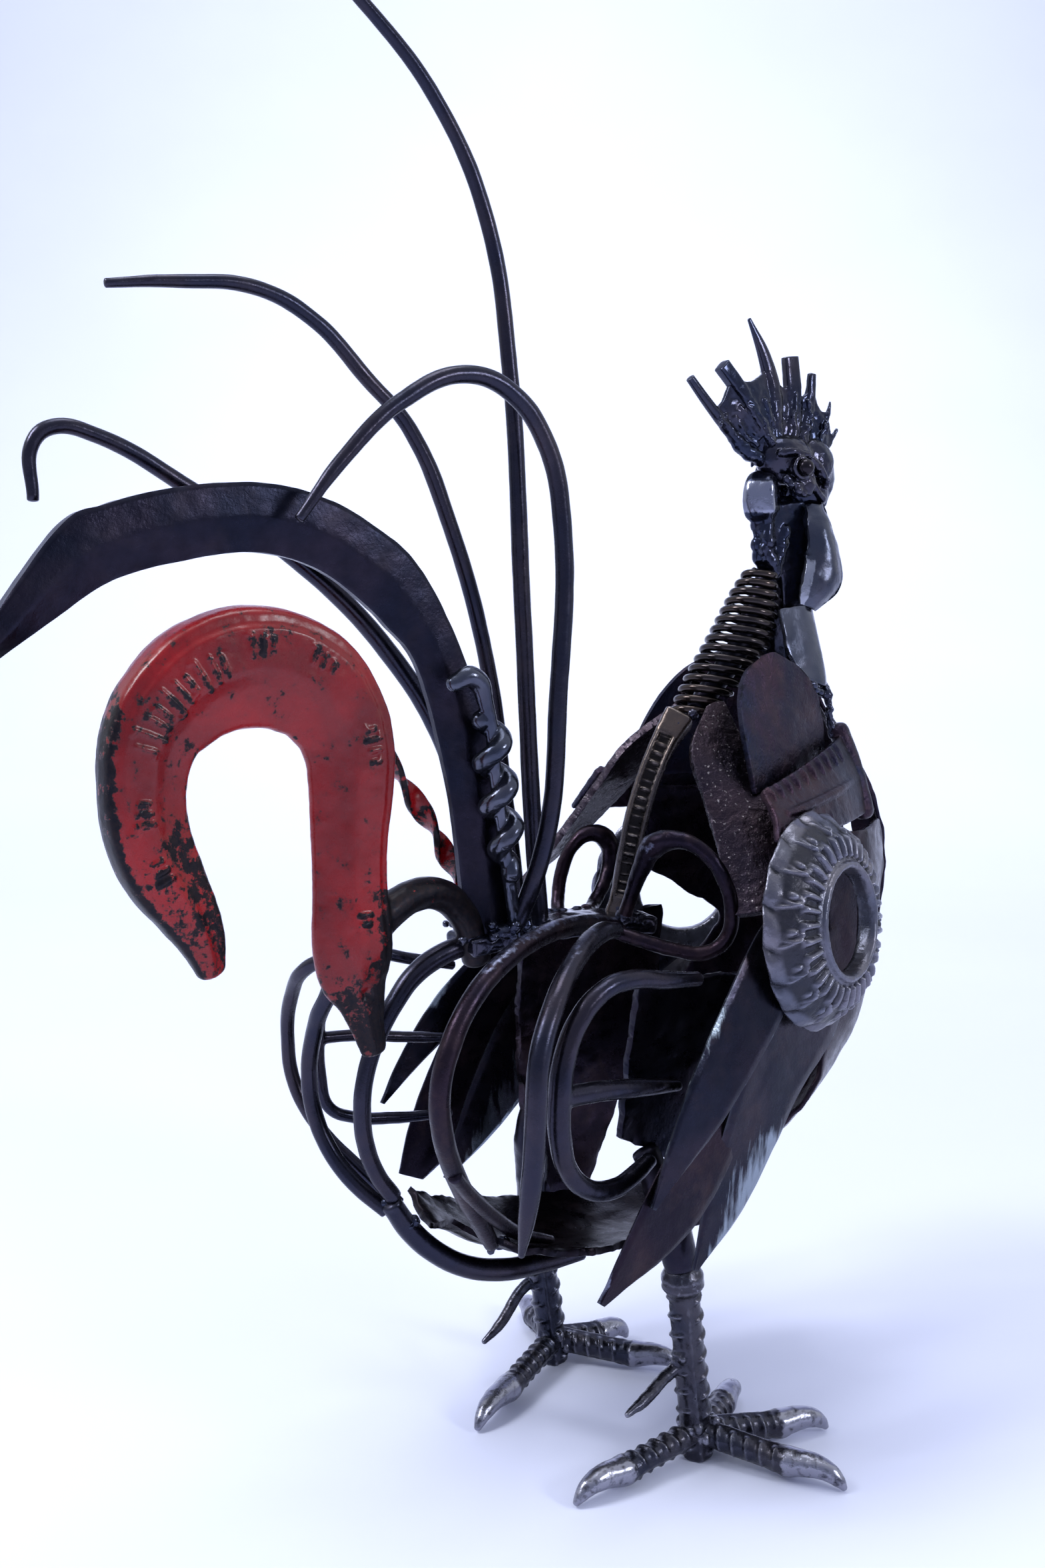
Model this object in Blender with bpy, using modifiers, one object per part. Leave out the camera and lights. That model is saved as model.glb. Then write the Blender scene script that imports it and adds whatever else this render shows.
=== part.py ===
"""Rooster welded together from scrap steel, standing on its two feet.

It heads along +X with its left side towards +Y and the floor at Z = 0, in metres. The pose is drawn in
units that are shares of the height. Bars, wires and plates have real sizes of their own.
"""
import math

import bmesh
import bpy
from mathutils import Vector
from mathutils.bvhtree import BVHTree

HEIGHT = 0.690  # floor to the tip of the tall tail rod
DRAWN_HEIGHT = 690.0  # the same height in the units that the pose is drawn in
UNIT = HEIGHT / DRAWN_HEIGHT

WELD_GAP = 0.0003  # left between pieces that are welded together

# Tail
TALL_ROD = 0.0085
BENT_ROD = 0.0075
ARCHED_ROD = 0.0085
LOW_ROD = 0.0090
SICKLE_THICK = 0.012
AUGER_SHAFT = 0.0078
AUGER_ACROSS = 0.0180
AUGER_WEB = 0.0072
AUGER_TURNS = 4.5
RIBBON_WIDE = 0.0130
RIBBON_THICK = 0.0030
HOOK_WIDE = 0.0480  # at its saddle
HOOK_THICK = 0.0270
HOOK_ARM = 0.0150

# Rump cage
CENTRE_TINE = 0.0080
KEEL_BAR = 0.0105
INNER_HOOP = 0.0078
OUTER_HOOP = 0.0066
BIG_HOOP = 0.0090
HAY_TINE = 0.0092
FORK_BAR = 0.0090
FORK_TINE = 0.0062
BELLY_TINE = 0.0070

# Plates
BACK_PLATE = 0.0090
BELLY_PLATE = 0.0032
BREAST_PLATE = 0.0025
HIP_PLATE = 0.0040
ROUGH_PLATE = 0.0050
TONGUE_PLATE = 0.0030
BRACKET_PLATE = 0.0044
BRACKET_RIB = 0.0046
BRACKET_BEAD = 0.0095
THROAT_PLATE = 0.0024
BLADE_PLATE = 0.0026

# Hub ring
RING_ACROSS = 0.101
RING_HOLE = 0.047
RING_THICK = 0.0060
RING_DISH = 0.0130
RING_LOBES = 17
RING_LOBE_DEPTH = 0.0011

# Bows, handle, neck and head
BOW_BAR = 0.0068
HANDLE_WIDE = 0.0092
HANDLE_THICK = 0.0080
SPRING_WIRE = 0.0036
SPRING_WIDE = 0.0285  # mean diameter at the barrel's widest coil
SPRING_COILS = 15
NECK_BAR_WIDE = 0.0170
NECK_BAR_THICK = 0.0100
EYE_BALL = 0.0070
EYE_SOCKET = 0.0108
SOCKET_DEEP = 0.0120
CROWN_ACROSS = 0.0340
BROW_ACROSS = 0.0300
JAW_ACROSS = 0.0260
CHEEK_ACROSS = 0.0150
BEAK_ROOT = 0.0200
COMB_SPIKE = 0.0062
COMB_WEB = 0.0042
WATTLE_THICK = 0.0036

# Legs
SHANK_BAR = 0.0155
TOE_BAR = 0.0120
RIB_HEIGHT = 0.0008
SHANK_RIBS = 9
TOE_RIBS = 4
COLLAR_ACROSS = 0.0200
SPUR = 0.0062

BLACK_STEEL = ((0.030, 0.030, 0.042, 1), 0.42, 0.9)
BROWN_STEEL = ((0.055, 0.038, 0.036, 1), 0.50, 0.8)
RED_ENAMEL = ((0.42, 0.028, 0.024, 1), 0.30, 0.1)
SPRING_BRONZE = ((0.110, 0.080, 0.062, 1), 0.36, 0.9)
CAST_GREY = ((0.200, 0.210, 0.235, 1), 0.42, 0.8)
PALE_STEEL = ((0.260, 0.270, 0.330, 1), 0.40, 0.8)
BAR_STEEL = ((0.075, 0.074, 0.085, 1), 0.40, 0.9)

rooster = bpy.data.collections.new("scrap_rooster")
helpers = bpy.data.collections.new("cutters")
placed = []


def at(x, y, z):
    """Point of the drawn pose, in metres."""
    return Vector((x * UNIT, y * UNIT, z * UNIT))


def add_piece(name, mesh, finish):
    """New sub-part with a material of its own."""
    piece = bpy.data.objects.new(name, mesh)
    rooster.objects.link(piece)
    colour, roughness, metallic = finish
    material = bpy.data.materials.new(name)
    material.use_nodes = True
    shader = material.node_tree.nodes["Principled BSDF"]
    shader.inputs["Base Color"].default_value = colour
    shader.inputs["Roughness"].default_value = roughness
    shader.inputs["Metallic"].default_value = metallic
    mesh.materials.clear()
    mesh.materials.append(material)
    return piece


def add_helper(name, data):
    """Shape that only helps to make another one."""
    helper = bpy.data.objects.new(name, data)
    helper.hide_render = True
    helper.display_type = "WIRE"
    helpers.objects.link(helper)
    return helper


def evaluated_mesh(shape):
    """Mesh of an object with its modifiers or its curve's bevel worked in, welded and facing out."""
    graph = bpy.context.evaluated_depsgraph_get()
    mesh = bpy.data.meshes.new_from_object(shape.evaluated_get(graph))
    form = bmesh.new()
    form.from_mesh(mesh)
    bmesh.ops.remove_doubles(form, verts=form.verts, dist=0.000002)
    bmesh.ops.recalc_face_normals(form, faces=form.faces)
    form.to_mesh(mesh)
    form.free()
    return mesh


def take_mesh(helper):
    """Evaluated mesh of a helper, which is then removed."""
    mesh = evaluated_mesh(helper)
    bpy.data.objects.remove(helper)
    return mesh


def bar_mesh(path, across, steps=2, resolution=1):
    """Round bar along drawn points (x, y, z, share of its thickness)."""
    curve = bpy.data.curves.new("bar", "CURVE")
    curve.dimensions = "3D"
    curve.resolution_u = steps
    curve.bevel_depth = across / 2
    curve.bevel_resolution = resolution
    curve.use_fill_caps = True
    spline = curve.splines.new("BEZIER")
    spline.bezier_points.add(len(path) - 1)
    for point, (x, y, z, share) in zip(spline.bezier_points, path):
        point.co = at(x, y, z)
        point.handle_left_type = "AUTO"
        point.handle_right_type = "AUTO"
        point.radius = share
    return take_mesh(add_helper("bar", curve))


def wire_mesh(points, across, resolution=1):
    """Round wire through many close points (position, share of its thickness)."""
    curve = bpy.data.curves.new("wire", "CURVE")
    curve.dimensions = "3D"
    curve.bevel_depth = across / 2
    curve.bevel_resolution = resolution
    curve.use_fill_caps = True
    spline = curve.splines.new("POLY")
    spline.points.add(len(points) - 1)
    for point, (place, share) in zip(spline.points, points):
        point.co = (*place, 1)
        point.radius = share
    return take_mesh(add_helper("wire", curve))


def smooth_line(points, count):
    """That many points along a smooth line (Catmull-Rom) through drawn points."""
    knots = [Vector(point) for point in points]
    knots = [2 * knots[0] - knots[1], *knots, 2 * knots[-1] - knots[-2]]
    spans = len(points) - 1
    line = []
    for index in range(count):
        place = index * spans / (count - 1)
        span = min(int(place), spans - 1)
        t = place - span
        a, b, c, d = knots[span:span + 4]
        line.append(0.5 * (2 * b + (c - a) * t + (2 * a - 5 * b + 4 * c - d) * t * t
                           + (3 * b - a - 3 * c + d) * t * t * t))
    return line


def plate_mesh(lines, thick, stations=8, cells=None):
    """Bent plate between drawn lines that run side by side, of even thickness about them."""
    grid = [smooth_line(line, stations) for line in lines]
    if cells:
        grid = [smooth_line([line[i] for line in grid], cells + 1) for i in range(stations)]
    form = bmesh.new()
    rows = [[form.verts.new(at(*point)) for point in line] for line in grid]
    for row, following in zip(rows, rows[1:]):
        for i in range(len(row) - 1):
            form.faces.new((row[i], row[i + 1], following[i + 1], following[i]))
    mesh = bpy.data.meshes.new("plate")
    form.to_mesh(mesh)
    form.free()
    helper = add_helper("plate", mesh)
    solid = helper.modifiers.new("thickness", "SOLIDIFY")
    solid.thickness = thick
    solid.offset = 0
    solid.use_even_offset = True
    return take_mesh(helper)


def swollen_copy(piece, growth):
    """Cutter that is the placed piece, grown on every side."""
    mesh = piece.data.copy()
    form = bmesh.new()
    form.from_mesh(mesh)
    form.normal_update()
    moves = [vertex.normal * growth * min(vertex.calc_shell_factor(), 2.5) for vertex in form.verts]
    for vertex, move in zip(form.verts, moves):
        vertex.co += move
    form.to_mesh(mesh)
    form.free()
    return add_helper("cutter", mesh)


def surface_tree(shape):
    """Search tree of an object's surface."""
    form = bmesh.new()
    form.from_mesh(shape.data)
    tree = BVHTree.FromBMesh(form)
    form.free()
    return tree


def combine(piece, other, operation):
    """Boolean of the piece with another shape, worked in at once."""
    boolean = piece.modifiers.new("boolean", "BOOLEAN")
    boolean.operation = operation
    boolean.solver = "EXACT"
    boolean.object = other
    material = piece.data.materials[0]
    mesh = evaluated_mesh(piece)
    piece.modifiers.clear()
    piece.data = mesh
    mesh.materials.clear()
    mesh.materials.append(material)


def keep_largest(piece):
    """Drop the offcuts that a cut left loose."""
    form = bmesh.new()
    form.from_mesh(piece.data)
    bodies = []
    waiting = set(form.faces)
    while waiting:
        body = {waiting.pop()}
        edge = list(body)
        while edge:
            near = {face for side in edge.pop().edges for face in side.link_faces} & waiting
            waiting -= near
            body |= near
            edge.extend(near)
        bodies.append(body)
    largest = max(bodies, key=lambda body: sum(face.calc_area() for face in body))
    loose = [face for body in bodies if body is not largest for face in body]
    bmesh.ops.delete(form, geom=loose, context="FACES")
    bmesh.ops.recalc_face_normals(form, faces=form.faces)
    if form.calc_volume(signed=True) < 0:
        bmesh.ops.reverse_faces(form, faces=form.faces)
    form.to_mesh(piece.data)
    form.free()


def boxes_meet(first, second):
    """Whether two objects' boxes come within the weld gap of each other."""
    for axis in range(3):
        spans = [[vertex.co[axis] for vertex in shape.data.vertices] for shape in (first, second)]
        if max(spans[0]) + WELD_GAP < min(spans[1]) or max(spans[1]) + WELD_GAP < min(spans[0]):
            return False
    return True


def settle(name, mesh, finish):
    """Place a piece, cut back by the weld gap where it meets the pieces placed before it."""
    piece = add_piece(name, mesh, finish)
    for other in placed:
        if not boxes_meet(piece, other):
            continue
        for growth in (1, 1.3, 1.6, 2):
            cutter = swollen_copy(other, growth * WELD_GAP)
            if surface_tree(piece).overlap(surface_tree(cutter)):
                whole = piece.data
                combine(piece, cutter, "DIFFERENCE")
                if not piece.data.polygons:
                    piece.data = whole
                    bpy.data.objects.remove(cutter)
                    continue
                keep_largest(piece)
            bpy.data.objects.remove(cutter)
            if not surface_tree(piece).overlap(surface_tree(other)):
                break
    placed.append(piece)
    return piece


def join(piece, mesh):
    """Fuse another form into the piece."""
    helper = add_helper("addition", mesh)
    combine(piece, helper, "UNION")
    bpy.data.objects.remove(helper)


def fused(meshes):
    """One closed mesh from several that overlap."""
    body = add_piece("fused", meshes[0], BLACK_STEEL)
    for mesh in meshes[1:]:
        join(body, mesh)
    mesh = body.data
    bpy.data.materials.remove(mesh.materials[0])
    mesh.materials.clear()
    bpy.data.objects.remove(body)
    return mesh


def ball_mesh(place, across, stretch=(1, 1, 1), segments=10, rings=7):
    """Lump about a drawn point."""
    form = bmesh.new()
    bmesh.ops.create_uvsphere(form, u_segments=segments, v_segments=rings, radius=across / 2)
    for vertex in form.verts:
        vertex.co = Vector(a * b for a, b in zip(vertex.co, stretch)) + at(*place)
    mesh = bpy.data.meshes.new("ball")
    form.to_mesh(mesh)
    form.free()
    return mesh


def mirrored(mesh):
    """The same form on the other side of the rooster."""
    other = mesh.copy()
    form = bmesh.new()
    form.from_mesh(other)
    for vertex in form.verts:
        vertex.co.y = -vertex.co.y
    bmesh.ops.reverse_faces(form, faces=form.faces)
    form.to_mesh(other)
    form.free()
    return other


def sheared(mesh, shift=0.0, lean=0.0, level=0.0):
    """The form moved forward by a drawn distance and leaning forward below a drawn level."""
    for vertex in mesh.vertices:
        vertex.co.x += shift * UNIT + lean * (level * UNIT - vertex.co.z)
    return mesh


def settle_pair(name, mesh, finish, shift=0.0, lean=0.0, level=0.0):
    """The right-hand piece and its mirror image on the left, which may stand elsewhere or lean back."""
    left = sheared(mirrored(mesh), shift, lean, level)
    settle(name + "_right", mesh, finish)
    settle(name + "_left", left, finish)


def faced(mesh, middle, facing):
    """A flat form turned so that its upper side faces that way, and carried to a drawn point."""
    turn = Vector(facing).to_track_quat("Z", "Y")
    for vertex in mesh.vertices:
        vertex.co = at(*middle) + turn @ vertex.co
    return mesh


def flatten(mesh, plane_y, share):
    """Squash a bar that is bent in an upright plane, so that its section becomes an oval."""
    for vertex in mesh.vertices:
        vertex.co.y = plane_y + (vertex.co.y - plane_y) * share
    return mesh


# Body


def back_plate():
    ridge = [(-92, 0, 244), (-60, 0, 247), (-20, 0, 247), (12, 0, 244)]
    edges = [[(x, side * 13, z - 1) for x, _, z in ridge] for side in (-1, 1)]
    settle("back_plate", plate_mesh([edges[0], ridge, edges[1]], BACK_PLATE, stations=5), BLACK_STEEL)


def belly_plate():
    middle = [(-108, 0, 116), (-84, 0, 103), (-52, 0, 95), (-10, 0, 91), (58, 0, 90)]
    widths = (22, 36, 40, 36, 24)
    edges = [[(x, side * wide, z + 7) for (x, _, z), wide in zip(middle, widths)] for side in (-1, 1)]
    mesh = plate_mesh([edges[0], middle, edges[1]], BELLY_PLATE, stations=9, cells=4)
    settle("belly_plate", mesh, BROWN_STEEL)


def breast_strip():
    front = [(118, 356), (127, 343), (141, 327), (155, 308), (165, 288), (169, 268), (167, 246),
             (161, 218), (150, 191), (136, 168), (119, 149), (99, 131), (78, 113), (60, 98)]
    half_width = 11
    lines = [[(x - 5, -half_width, z - 1) for x, z in front],
             [(x, 0, z) for x, z in front],
             [(x - 5, half_width, z - 1) for x, z in front]]
    settle("breast_strip", plate_mesh(lines, BREAST_PLATE, stations=14), BROWN_STEEL)


def breast_plates():
    front = [(156, -14, 286), (159, -14, 262), (153, -14, 222), (142, -14, 192), (128, -14, 168), (110, -14, 148),
             (90, -14, 131)]
    middle = [(124, -36, 286), (125, -39, 262), (122, -41, 222), (114, -44, 192), (100, -41, 168), (84, -37, 148),
              (66, -32, 131)]
    rear = [(86, -46, 284), (87, -48, 258), (84, -53, 218), (78, -61, 192), (66, -65, 168), (54, -57, 149),
            (43, -44, 132)]
    settle("breast_plate_right", plate_mesh([front, middle, rear], BREAST_PLATE, stations=7, cells=3), BROWN_STEEL)
    front = [(155, 14, 288), (158, 14, 278), (159, 14, 268), (159, 14, 258), (156, 14, 238), (152, 14, 220),
             (142, 14, 192), (128, 14, 168), (110, 14, 148), (90, 14, 131)]
    middle = [(98, 34, 290), (102, 36, 276), (110, 37, 264), (116, 38, 253), (124, 39, 234), (121, 41, 218),
              (114, 44, 192), (100, 41, 168), (84, 37, 148), (66, 32, 131)]
    rear = [(34, 42, 292), (33, 44, 276), (46, 45, 262), (66, 46, 252), (98, 47, 231), (92, 52, 215),
            (80, 60, 192), (66, 65, 168), (54, 57, 149), (43, 44, 132)]
    settle("breast_plate_left", plate_mesh([rear, middle, front], BREAST_PLATE, stations=10, cells=3), BROWN_STEEL)


def hip_plates():
    front = [(62, -52, 226), (58, -50, 178), (36, -46, 116)]
    rear = [(-28, -50, 226), (-31, -47, 190), (-34, -45, 156)]
    settle("hip_plate_right", plate_mesh([front, rear], HIP_PLATE, stations=4, cells=2), BLACK_STEEL)
    front = [(62, 52, 226), (54, 50, 178), (33, 48, 143), (10, 47, 94)]
    rear = [(-28, 50, 226), (-31, 47, 190), (-30, 46, 150), (-14, 46, 92)]
    settle("hip_plate_left", plate_mesh([rear, front], HIP_PLATE, stations=5, cells=2), BLACK_STEEL)


# Tail


def tail_rods():
    tall = [(-46, 3, 246, 1), (-50, 4, 300, 1), (-55, 5, 400, 0.95), (-62, 5, 507, 0.88), (-73, 5, 566, 0.82),
            (-97, 5, 612, 0.75), (-134, 5, 648, 0.66), (-172, 5, 673, 0.58), (-212, 5, 688, 0.46)]
    settle("tail_rod_tall", bar_mesh(tall, TALL_ROD, resolution=2), BLACK_STEEL)
    bent = [(-53, 9, 246, 1), (-58, 16, 310, 1), (-64, 20, 366, 1), (-85, 20, 435, 1), (-106, 20, 477, 0.95),
            (-126, 20, 496, 0.9), (-150, 20, 518, 0.9), (-176, 20, 529, 0.85), (-212, 20, 528, 0.72),
            (-241, 20, 524, 0.5)]
    settle("tail_rod_bent", bar_mesh(bent, BENT_ROD, resolution=2), BLACK_STEEL)
    arched = [(-74, -12, 244, 1), (-66, -18, 266, 1), (-58, -23, 300, 1), (-55, -25, 350, 1), (-53, -25, 436, 1),
              (-61, -25, 467, 1), (-79, -25, 488, 0.98), (-102, -25, 494, 0.92), (-132, -25, 481, 0.84),
              (-160, -25, 455, 0.72), (-179, -25, 431, 0.5)]
    settle("tail_rod_arched", bar_mesh(arched, ARCHED_ROD, resolution=2), BLACK_STEEL)
    low = [(-72, 11, 246, 1), (-76, 20, 296, 1), (-88, 25, 338, 1), (-114, 25, 376, 1), (-152, 25, 412, 0.92),
           (-206, 25, 445, 0.8), (-246, 25, 465, 0.72), (-262, 25, 467, 0.7), (-270, 25, 461, 0.68),
           (-271, 25, 438, 0.52)]
    settle("tail_rod_low", bar_mesh(low, LOW_ROD, resolution=2), BLACK_STEEL)


def sickle_bar():
    outer = [(-71, 250), (-74, 297), (-80, 331), (-94, 374), (-115, 412), (-137, 430), (-160, 441), (-187, 446),
             (-222, 443), (-252, 435), (-272, 424), (-309, 372)]
    inner = [(-92, 247), (-97, 292), (-103, 326), (-116, 370), (-131, 388), (-147, 402), (-166, 413), (-190, 418),
             (-217, 415), (-241, 409), (-258, 401), (-296, 374)]
    lean = -5
    lines = [[(x, lean, z) for x, z in edge] for edge in (outer, inner)]
    settle("sickle_bar", plate_mesh(lines, SICKLE_THICK, stations=14, cells=1), BLACK_STEEL)


def auger():
    """Bit standing point down in the welds: a shaft with one flight wound round it and a hooked end."""
    foot = at(-71, -15, 250)
    top = at(-90, -22, 352)
    way = (top - foot).normalized()
    side = way.cross(Vector((0, 1, 0))).normalized()
    across = way.cross(side)
    shaft = bar_mesh([(-70, -14.7, 246, 1), (-77.5, -17.4, 285, 1), (-84.4, -19.9, 322, 1), (-90, -22, 352, 1.15),
                      (-98, -23, 366, 1.25), (-108, -23, 363, 0.9)], AUGER_SHAFT)
    start, end, per_turn = 0.26, 0.96, 8
    count = int(AUGER_TURNS * per_turn)
    orbit = (AUGER_ACROSS - AUGER_WEB) / 2
    helix = []
    for i in range(count + 1):
        share = start + (end - start) * i / count
        turn = math.tau * i / per_turn
        middle = foot.lerp(top, share)
        taper = min(1, 2.5 * i / count + 0.25, 2.5 * (count - i) / count + 0.55)
        helix.append((middle + (side * math.cos(turn) + across * math.sin(turn)) * orbit * taper, 1))
    flight = wire_mesh(helix, AUGER_WEB, resolution=0)
    settle("auger", fused([shaft, flight]), CAST_GREY)


def twisted_strip():
    """Flat red strip twisted once along its length."""
    line = smooth_line([(-82, 9, 256), (-90, 9, 276), (-97, 9, 290), (-107, 9, 306), (-119, 9, 323),
                        (-133, 9, 342)], 15)
    edges = [[], []]
    for i, point in enumerate(line):
        turn = math.radians(-30 + 430 * i / (len(line) - 1))
        swing = Vector((math.cos(turn) * 0.75, math.sin(turn), math.cos(turn) * 0.66)) * RIBBON_WIDE / 2 / UNIT
        edges[0].append(point - swing)
        edges[1].append(point + swing)
    mesh = plate_mesh(edges, RIBBON_THICK, stations=15, cells=2)
    settle("twisted_strip", mesh, RED_ENAMEL)


def crane_hook():
    """Big painted hook, upside down on its cut eye: the stub stands on the cage, the arm runs to the back."""
    lean = -20
    share = HOOK_THICK / HOOK_WIDE
    bow = [(-146, 207, 0.26), (-149, 220, 0.40), (-153, 236, 0.58), (-156, 254, 0.72), (-157, 276, 0.68),
           (-157, 298, 0.70), (-156, 322, 0.77), (-157, 338, 0.82), (-163, 353, 0.90), (-178, 367, 1.0),
           (-200, 372, 1.02), (-217, 368, 1.0), (-231, 358, 0.92), (-240, 346, 0.83), (-244, 325, 0.73),
           (-242, 305, 0.71), (-236, 290, 0.66), (-228, 276, 0.54), (-222, 264, 0.42), (-218, 250, 0.26)]
    path = [(x, lean, z, size) for x, z, size in bow]
    body = bar_mesh(path, HOOK_WIDE, resolution=2)
    flatten(body, lean * UNIT, share)
    arm = bar_mesh([(-150, -19, 256, 1.15), (-137, -18, 266, 1.1), (-124, -15, 271, 1), (-109, -11, 270, 0.98),
                    (-96, -7, 261, 0.95), (-88, -4, 249, 0.92), (-84, -2, 236, 0.9)], HOOK_ARM)
    settle("crane_hook", fused([body, arm]), RED_ENAMEL)


# Rump cage


def cage():
    keel = [(-128, 0, 128, 0.95), (-118, 0, 113, 1), (-105, -2, 100, 1), (-90, -4, 91, 1), (-72, -5, 86, 1),
            (-50, -2, 83, 0.95), (-24, 0, 82, 0.75)]
    settle("keel_bar", bar_mesh(keel, KEEL_BAR, resolution=2), BLACK_STEEL)
    centre = [(-88, 0, 243, 1.2), (-100, 0, 240, 1.25), (-114, 0, 233, 1.2), (-125, 0, 221, 1.1), (-134, 0, 206, 1),
              (-140, 0, 190, 1), (-142, 0, 172, 1), (-140, 0, 156, 1), (-135, 0, 143, 1), (-127, 0, 131, 1)]
    settle("centre_tine", bar_mesh(centre, CENTRE_TINE), BLACK_STEEL)
    inner = [(-149, -2, 238, 1), (-154, 12, 222, 1), (-154, 24, 205, 1), (-154, 30, 184, 1), (-152, 29, 166, 1),
             (-147, 23, 149, 1), (-139, 13, 135, 1), (-129, 3, 124, 0.9)]
    settle("hoop_inner", bar_mesh(inner, INNER_HOOP), BLACK_STEEL)
    outer = [(-150, 6, 244, 1), (-158, 22, 236, 1), (-157, 42, 219, 1), (-154, 54, 196, 1), (-151, 54, 174, 1),
             (-144, 44, 155, 1), (-132, 26, 138, 1), (-120, 8, 124, 0.9)]
    settle("hoop_outer", bar_mesh(outer, OUTER_HOOP), BLACK_STEEL)
    big = [(-12, -14, 246, 0.8), (-32, -20, 250, 1), (-58, -34, 253, 1), (-80, -45, 252, 1), (-101, -55, 247, 1),
           (-120, -62, 236, 1), (-134, -67, 219, 1), (-140, -68, 200, 1), (-138, -66, 183, 1), (-131, -60, 167, 1),
           (-120, -50, 150, 1), (-107, -40, 132, 1), (-93, -30, 112, 0.8)]
    settle("hoop_big", bar_mesh(big, BIG_HOOP), BROWN_STEEL)
    hay = [(-34, -42, 251, 0.8), (-50, -52, 253, 1), (-76, -70, 246, 1), (-96, -84, 231, 1),
           (-106, -90, 214, 1), (-109, -92, 194, 1), (-109, -90, 170, 1), (-108, -84, 147, 0.85), (-106, -76, 126, 0.3)]
    settle("hay_tine", bar_mesh(hay, HAY_TINE), BLACK_STEEL)
    belly = [(-129, -60, 160, 0.9), (-112, -48, 142, 1), (-92, -36, 124, 1), (-76, -27, 112, 0.9),
             (-56, -22, 103, 0.6)]
    settle("belly_tine", bar_mesh(belly, BELLY_TINE), BROWN_STEEL)


def forks():
    """Three-tine forks with a curved back, one in each side of the rump."""
    bow = [(-12, -74, 232, 0.75), (-34, -78, 235, 0.9), (-54, -80, 238, 1), (-70, -82, 235, 1),
           (-82, -83, 225, 1.05), (-90, -84, 210, 1.1), (-93, -85, 194, 1.15), (-92, -84, 176, 1.1),
           (-86, -82, 160, 1), (-75, -80, 150, 1), (-60, -77, 146, 1), (-46, -73, 148, 0.95),
           (-34, -69, 152, 0.8)]
    middle = [(-92, -84.5, 194, 1.1), (-74, -83, 193, 1), (-50, -80, 190, 0.95), (-24, -76, 186, 0.6)]
    body = fused([bar_mesh(bow, FORK_BAR), bar_mesh(middle, FORK_BAR)])
    settle("fork_right", body, BLACK_STEEL)
    bow = [(-56, 70, 216, 0.8), (-80, 71, 222, 1), (-102, 73, 226, 1), (-117, 75, 219, 1), (-126, 76, 204, 1.1),
           (-129, 76, 187, 1.2), (-128, 76, 168, 1.1), (-124, 75, 152, 1), (-112, 74, 145, 1), (-90, 73, 141, 1),
           (-58, 70, 139, 0.8)]
    middle = [(-129, 76, 187, 1), (-110, 75, 186, 1), (-84, 73, 182, 0.95), (-54, 70, 178, 0.8)]
    body = fused([bar_mesh(bow, FORK_TINE), bar_mesh(middle, FORK_TINE)])
    settle("fork_left", body, BLACK_STEEL)


# Back and sides


def handle_and_bows():
    spine = [(-4, 0, 246, 1.1), (-1, 0, 256, 0.95), (3, 0, 276, 0.95), (8, 0, 295, 1), (15, 0, 314, 1),
             (24, 0, 331, 1.05), (33, 0, 343, 1.25)]
    body = bar_mesh(spine, HANDLE_WIDE)
    settle("spine_handle", body, BROWN_STEEL)
    bow = [(-12, -17, 250, 1), (-11, -22, 262, 1), (-10, -28, 275, 1.25), (-8, -36, 287, 1.6), (-1, -46, 290, 1.2),
           (7, -55, 284, 1), (13, -61, 272, 1), (15, -64, 258, 1), (13, -63, 246, 1), (6, -58, 239, 1),
           (-6, -50, 240, 1), (-18, -42, 244, 1), (-28, -32, 248, 0.9)]
    settle("shear_bow_right", bar_mesh(bow, BOW_BAR, steps=1), BROWN_STEEL)
    bow = [(-14, 12, 249, 1), (-6, 20, 247, 1), (2, 28, 249, 1), (11, 32, 258, 1), (16, 34, 269, 1.2),
           (14, 35, 280, 1.5), (6, 38, 283, 1.2), (-2, 42, 276, 1), (-6, 45, 264, 1), (-9, 44, 252, 1),
           (-13, 38, 244, 1), (-20, 26, 243, 1), (-27, 12, 246, 0.9)]
    settle("shear_bow_left", bar_mesh(bow, BOW_BAR, steps=1), BROWN_STEEL)


def rough_plates():
    left_edge = [(40, -12, 348), (22, -22, 329), (17, -35, 309), (16, -47, 289), (15, -57, 271), (15, -66, 256)]
    right_edge = [(50, -13, 350), (51, -25, 333), (51, -42, 312), (48, -58, 292), (40, -69, 274), (26, -74, 258)]
    bend = [(46, -12, 350), (37, -26, 331), (34, -41, 310), (32, -54, 290), (28, -64, 272), (20, -71, 257)]
    mesh = plate_mesh([left_edge, bend, right_edge], ROUGH_PLATE, stations=6)
    settle_pair("rough_plate", mesh, BROWN_STEEL, lean=-0.36, level=345)


def tongue_plates():
    """Spade-shaped plate with a round top, beside the neck's root."""
    rear = [(42, -47, 309), (40, -45, 322), (39, -41, 338), (41, -36, 354), (48, -32, 366), (60, -29, 373)]
    front = [(104, -23, 312), (106, -24, 328), (103, -25, 343), (98, -26, 355), (88, -27, 366), (74, -28, 373)]
    middle = [(73, -38, 311), (73, -37, 325), (72, -35, 341), (71, -32, 356), (69, -30, 368), (67, -28.5, 375)]
    mesh = plate_mesh([rear, middle, front], TONGUE_PLATE, stations=7, cells=3)
    settle_pair("tongue_plate", mesh, BLACK_STEEL, shift=14, lean=-0.4, level=366)


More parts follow.
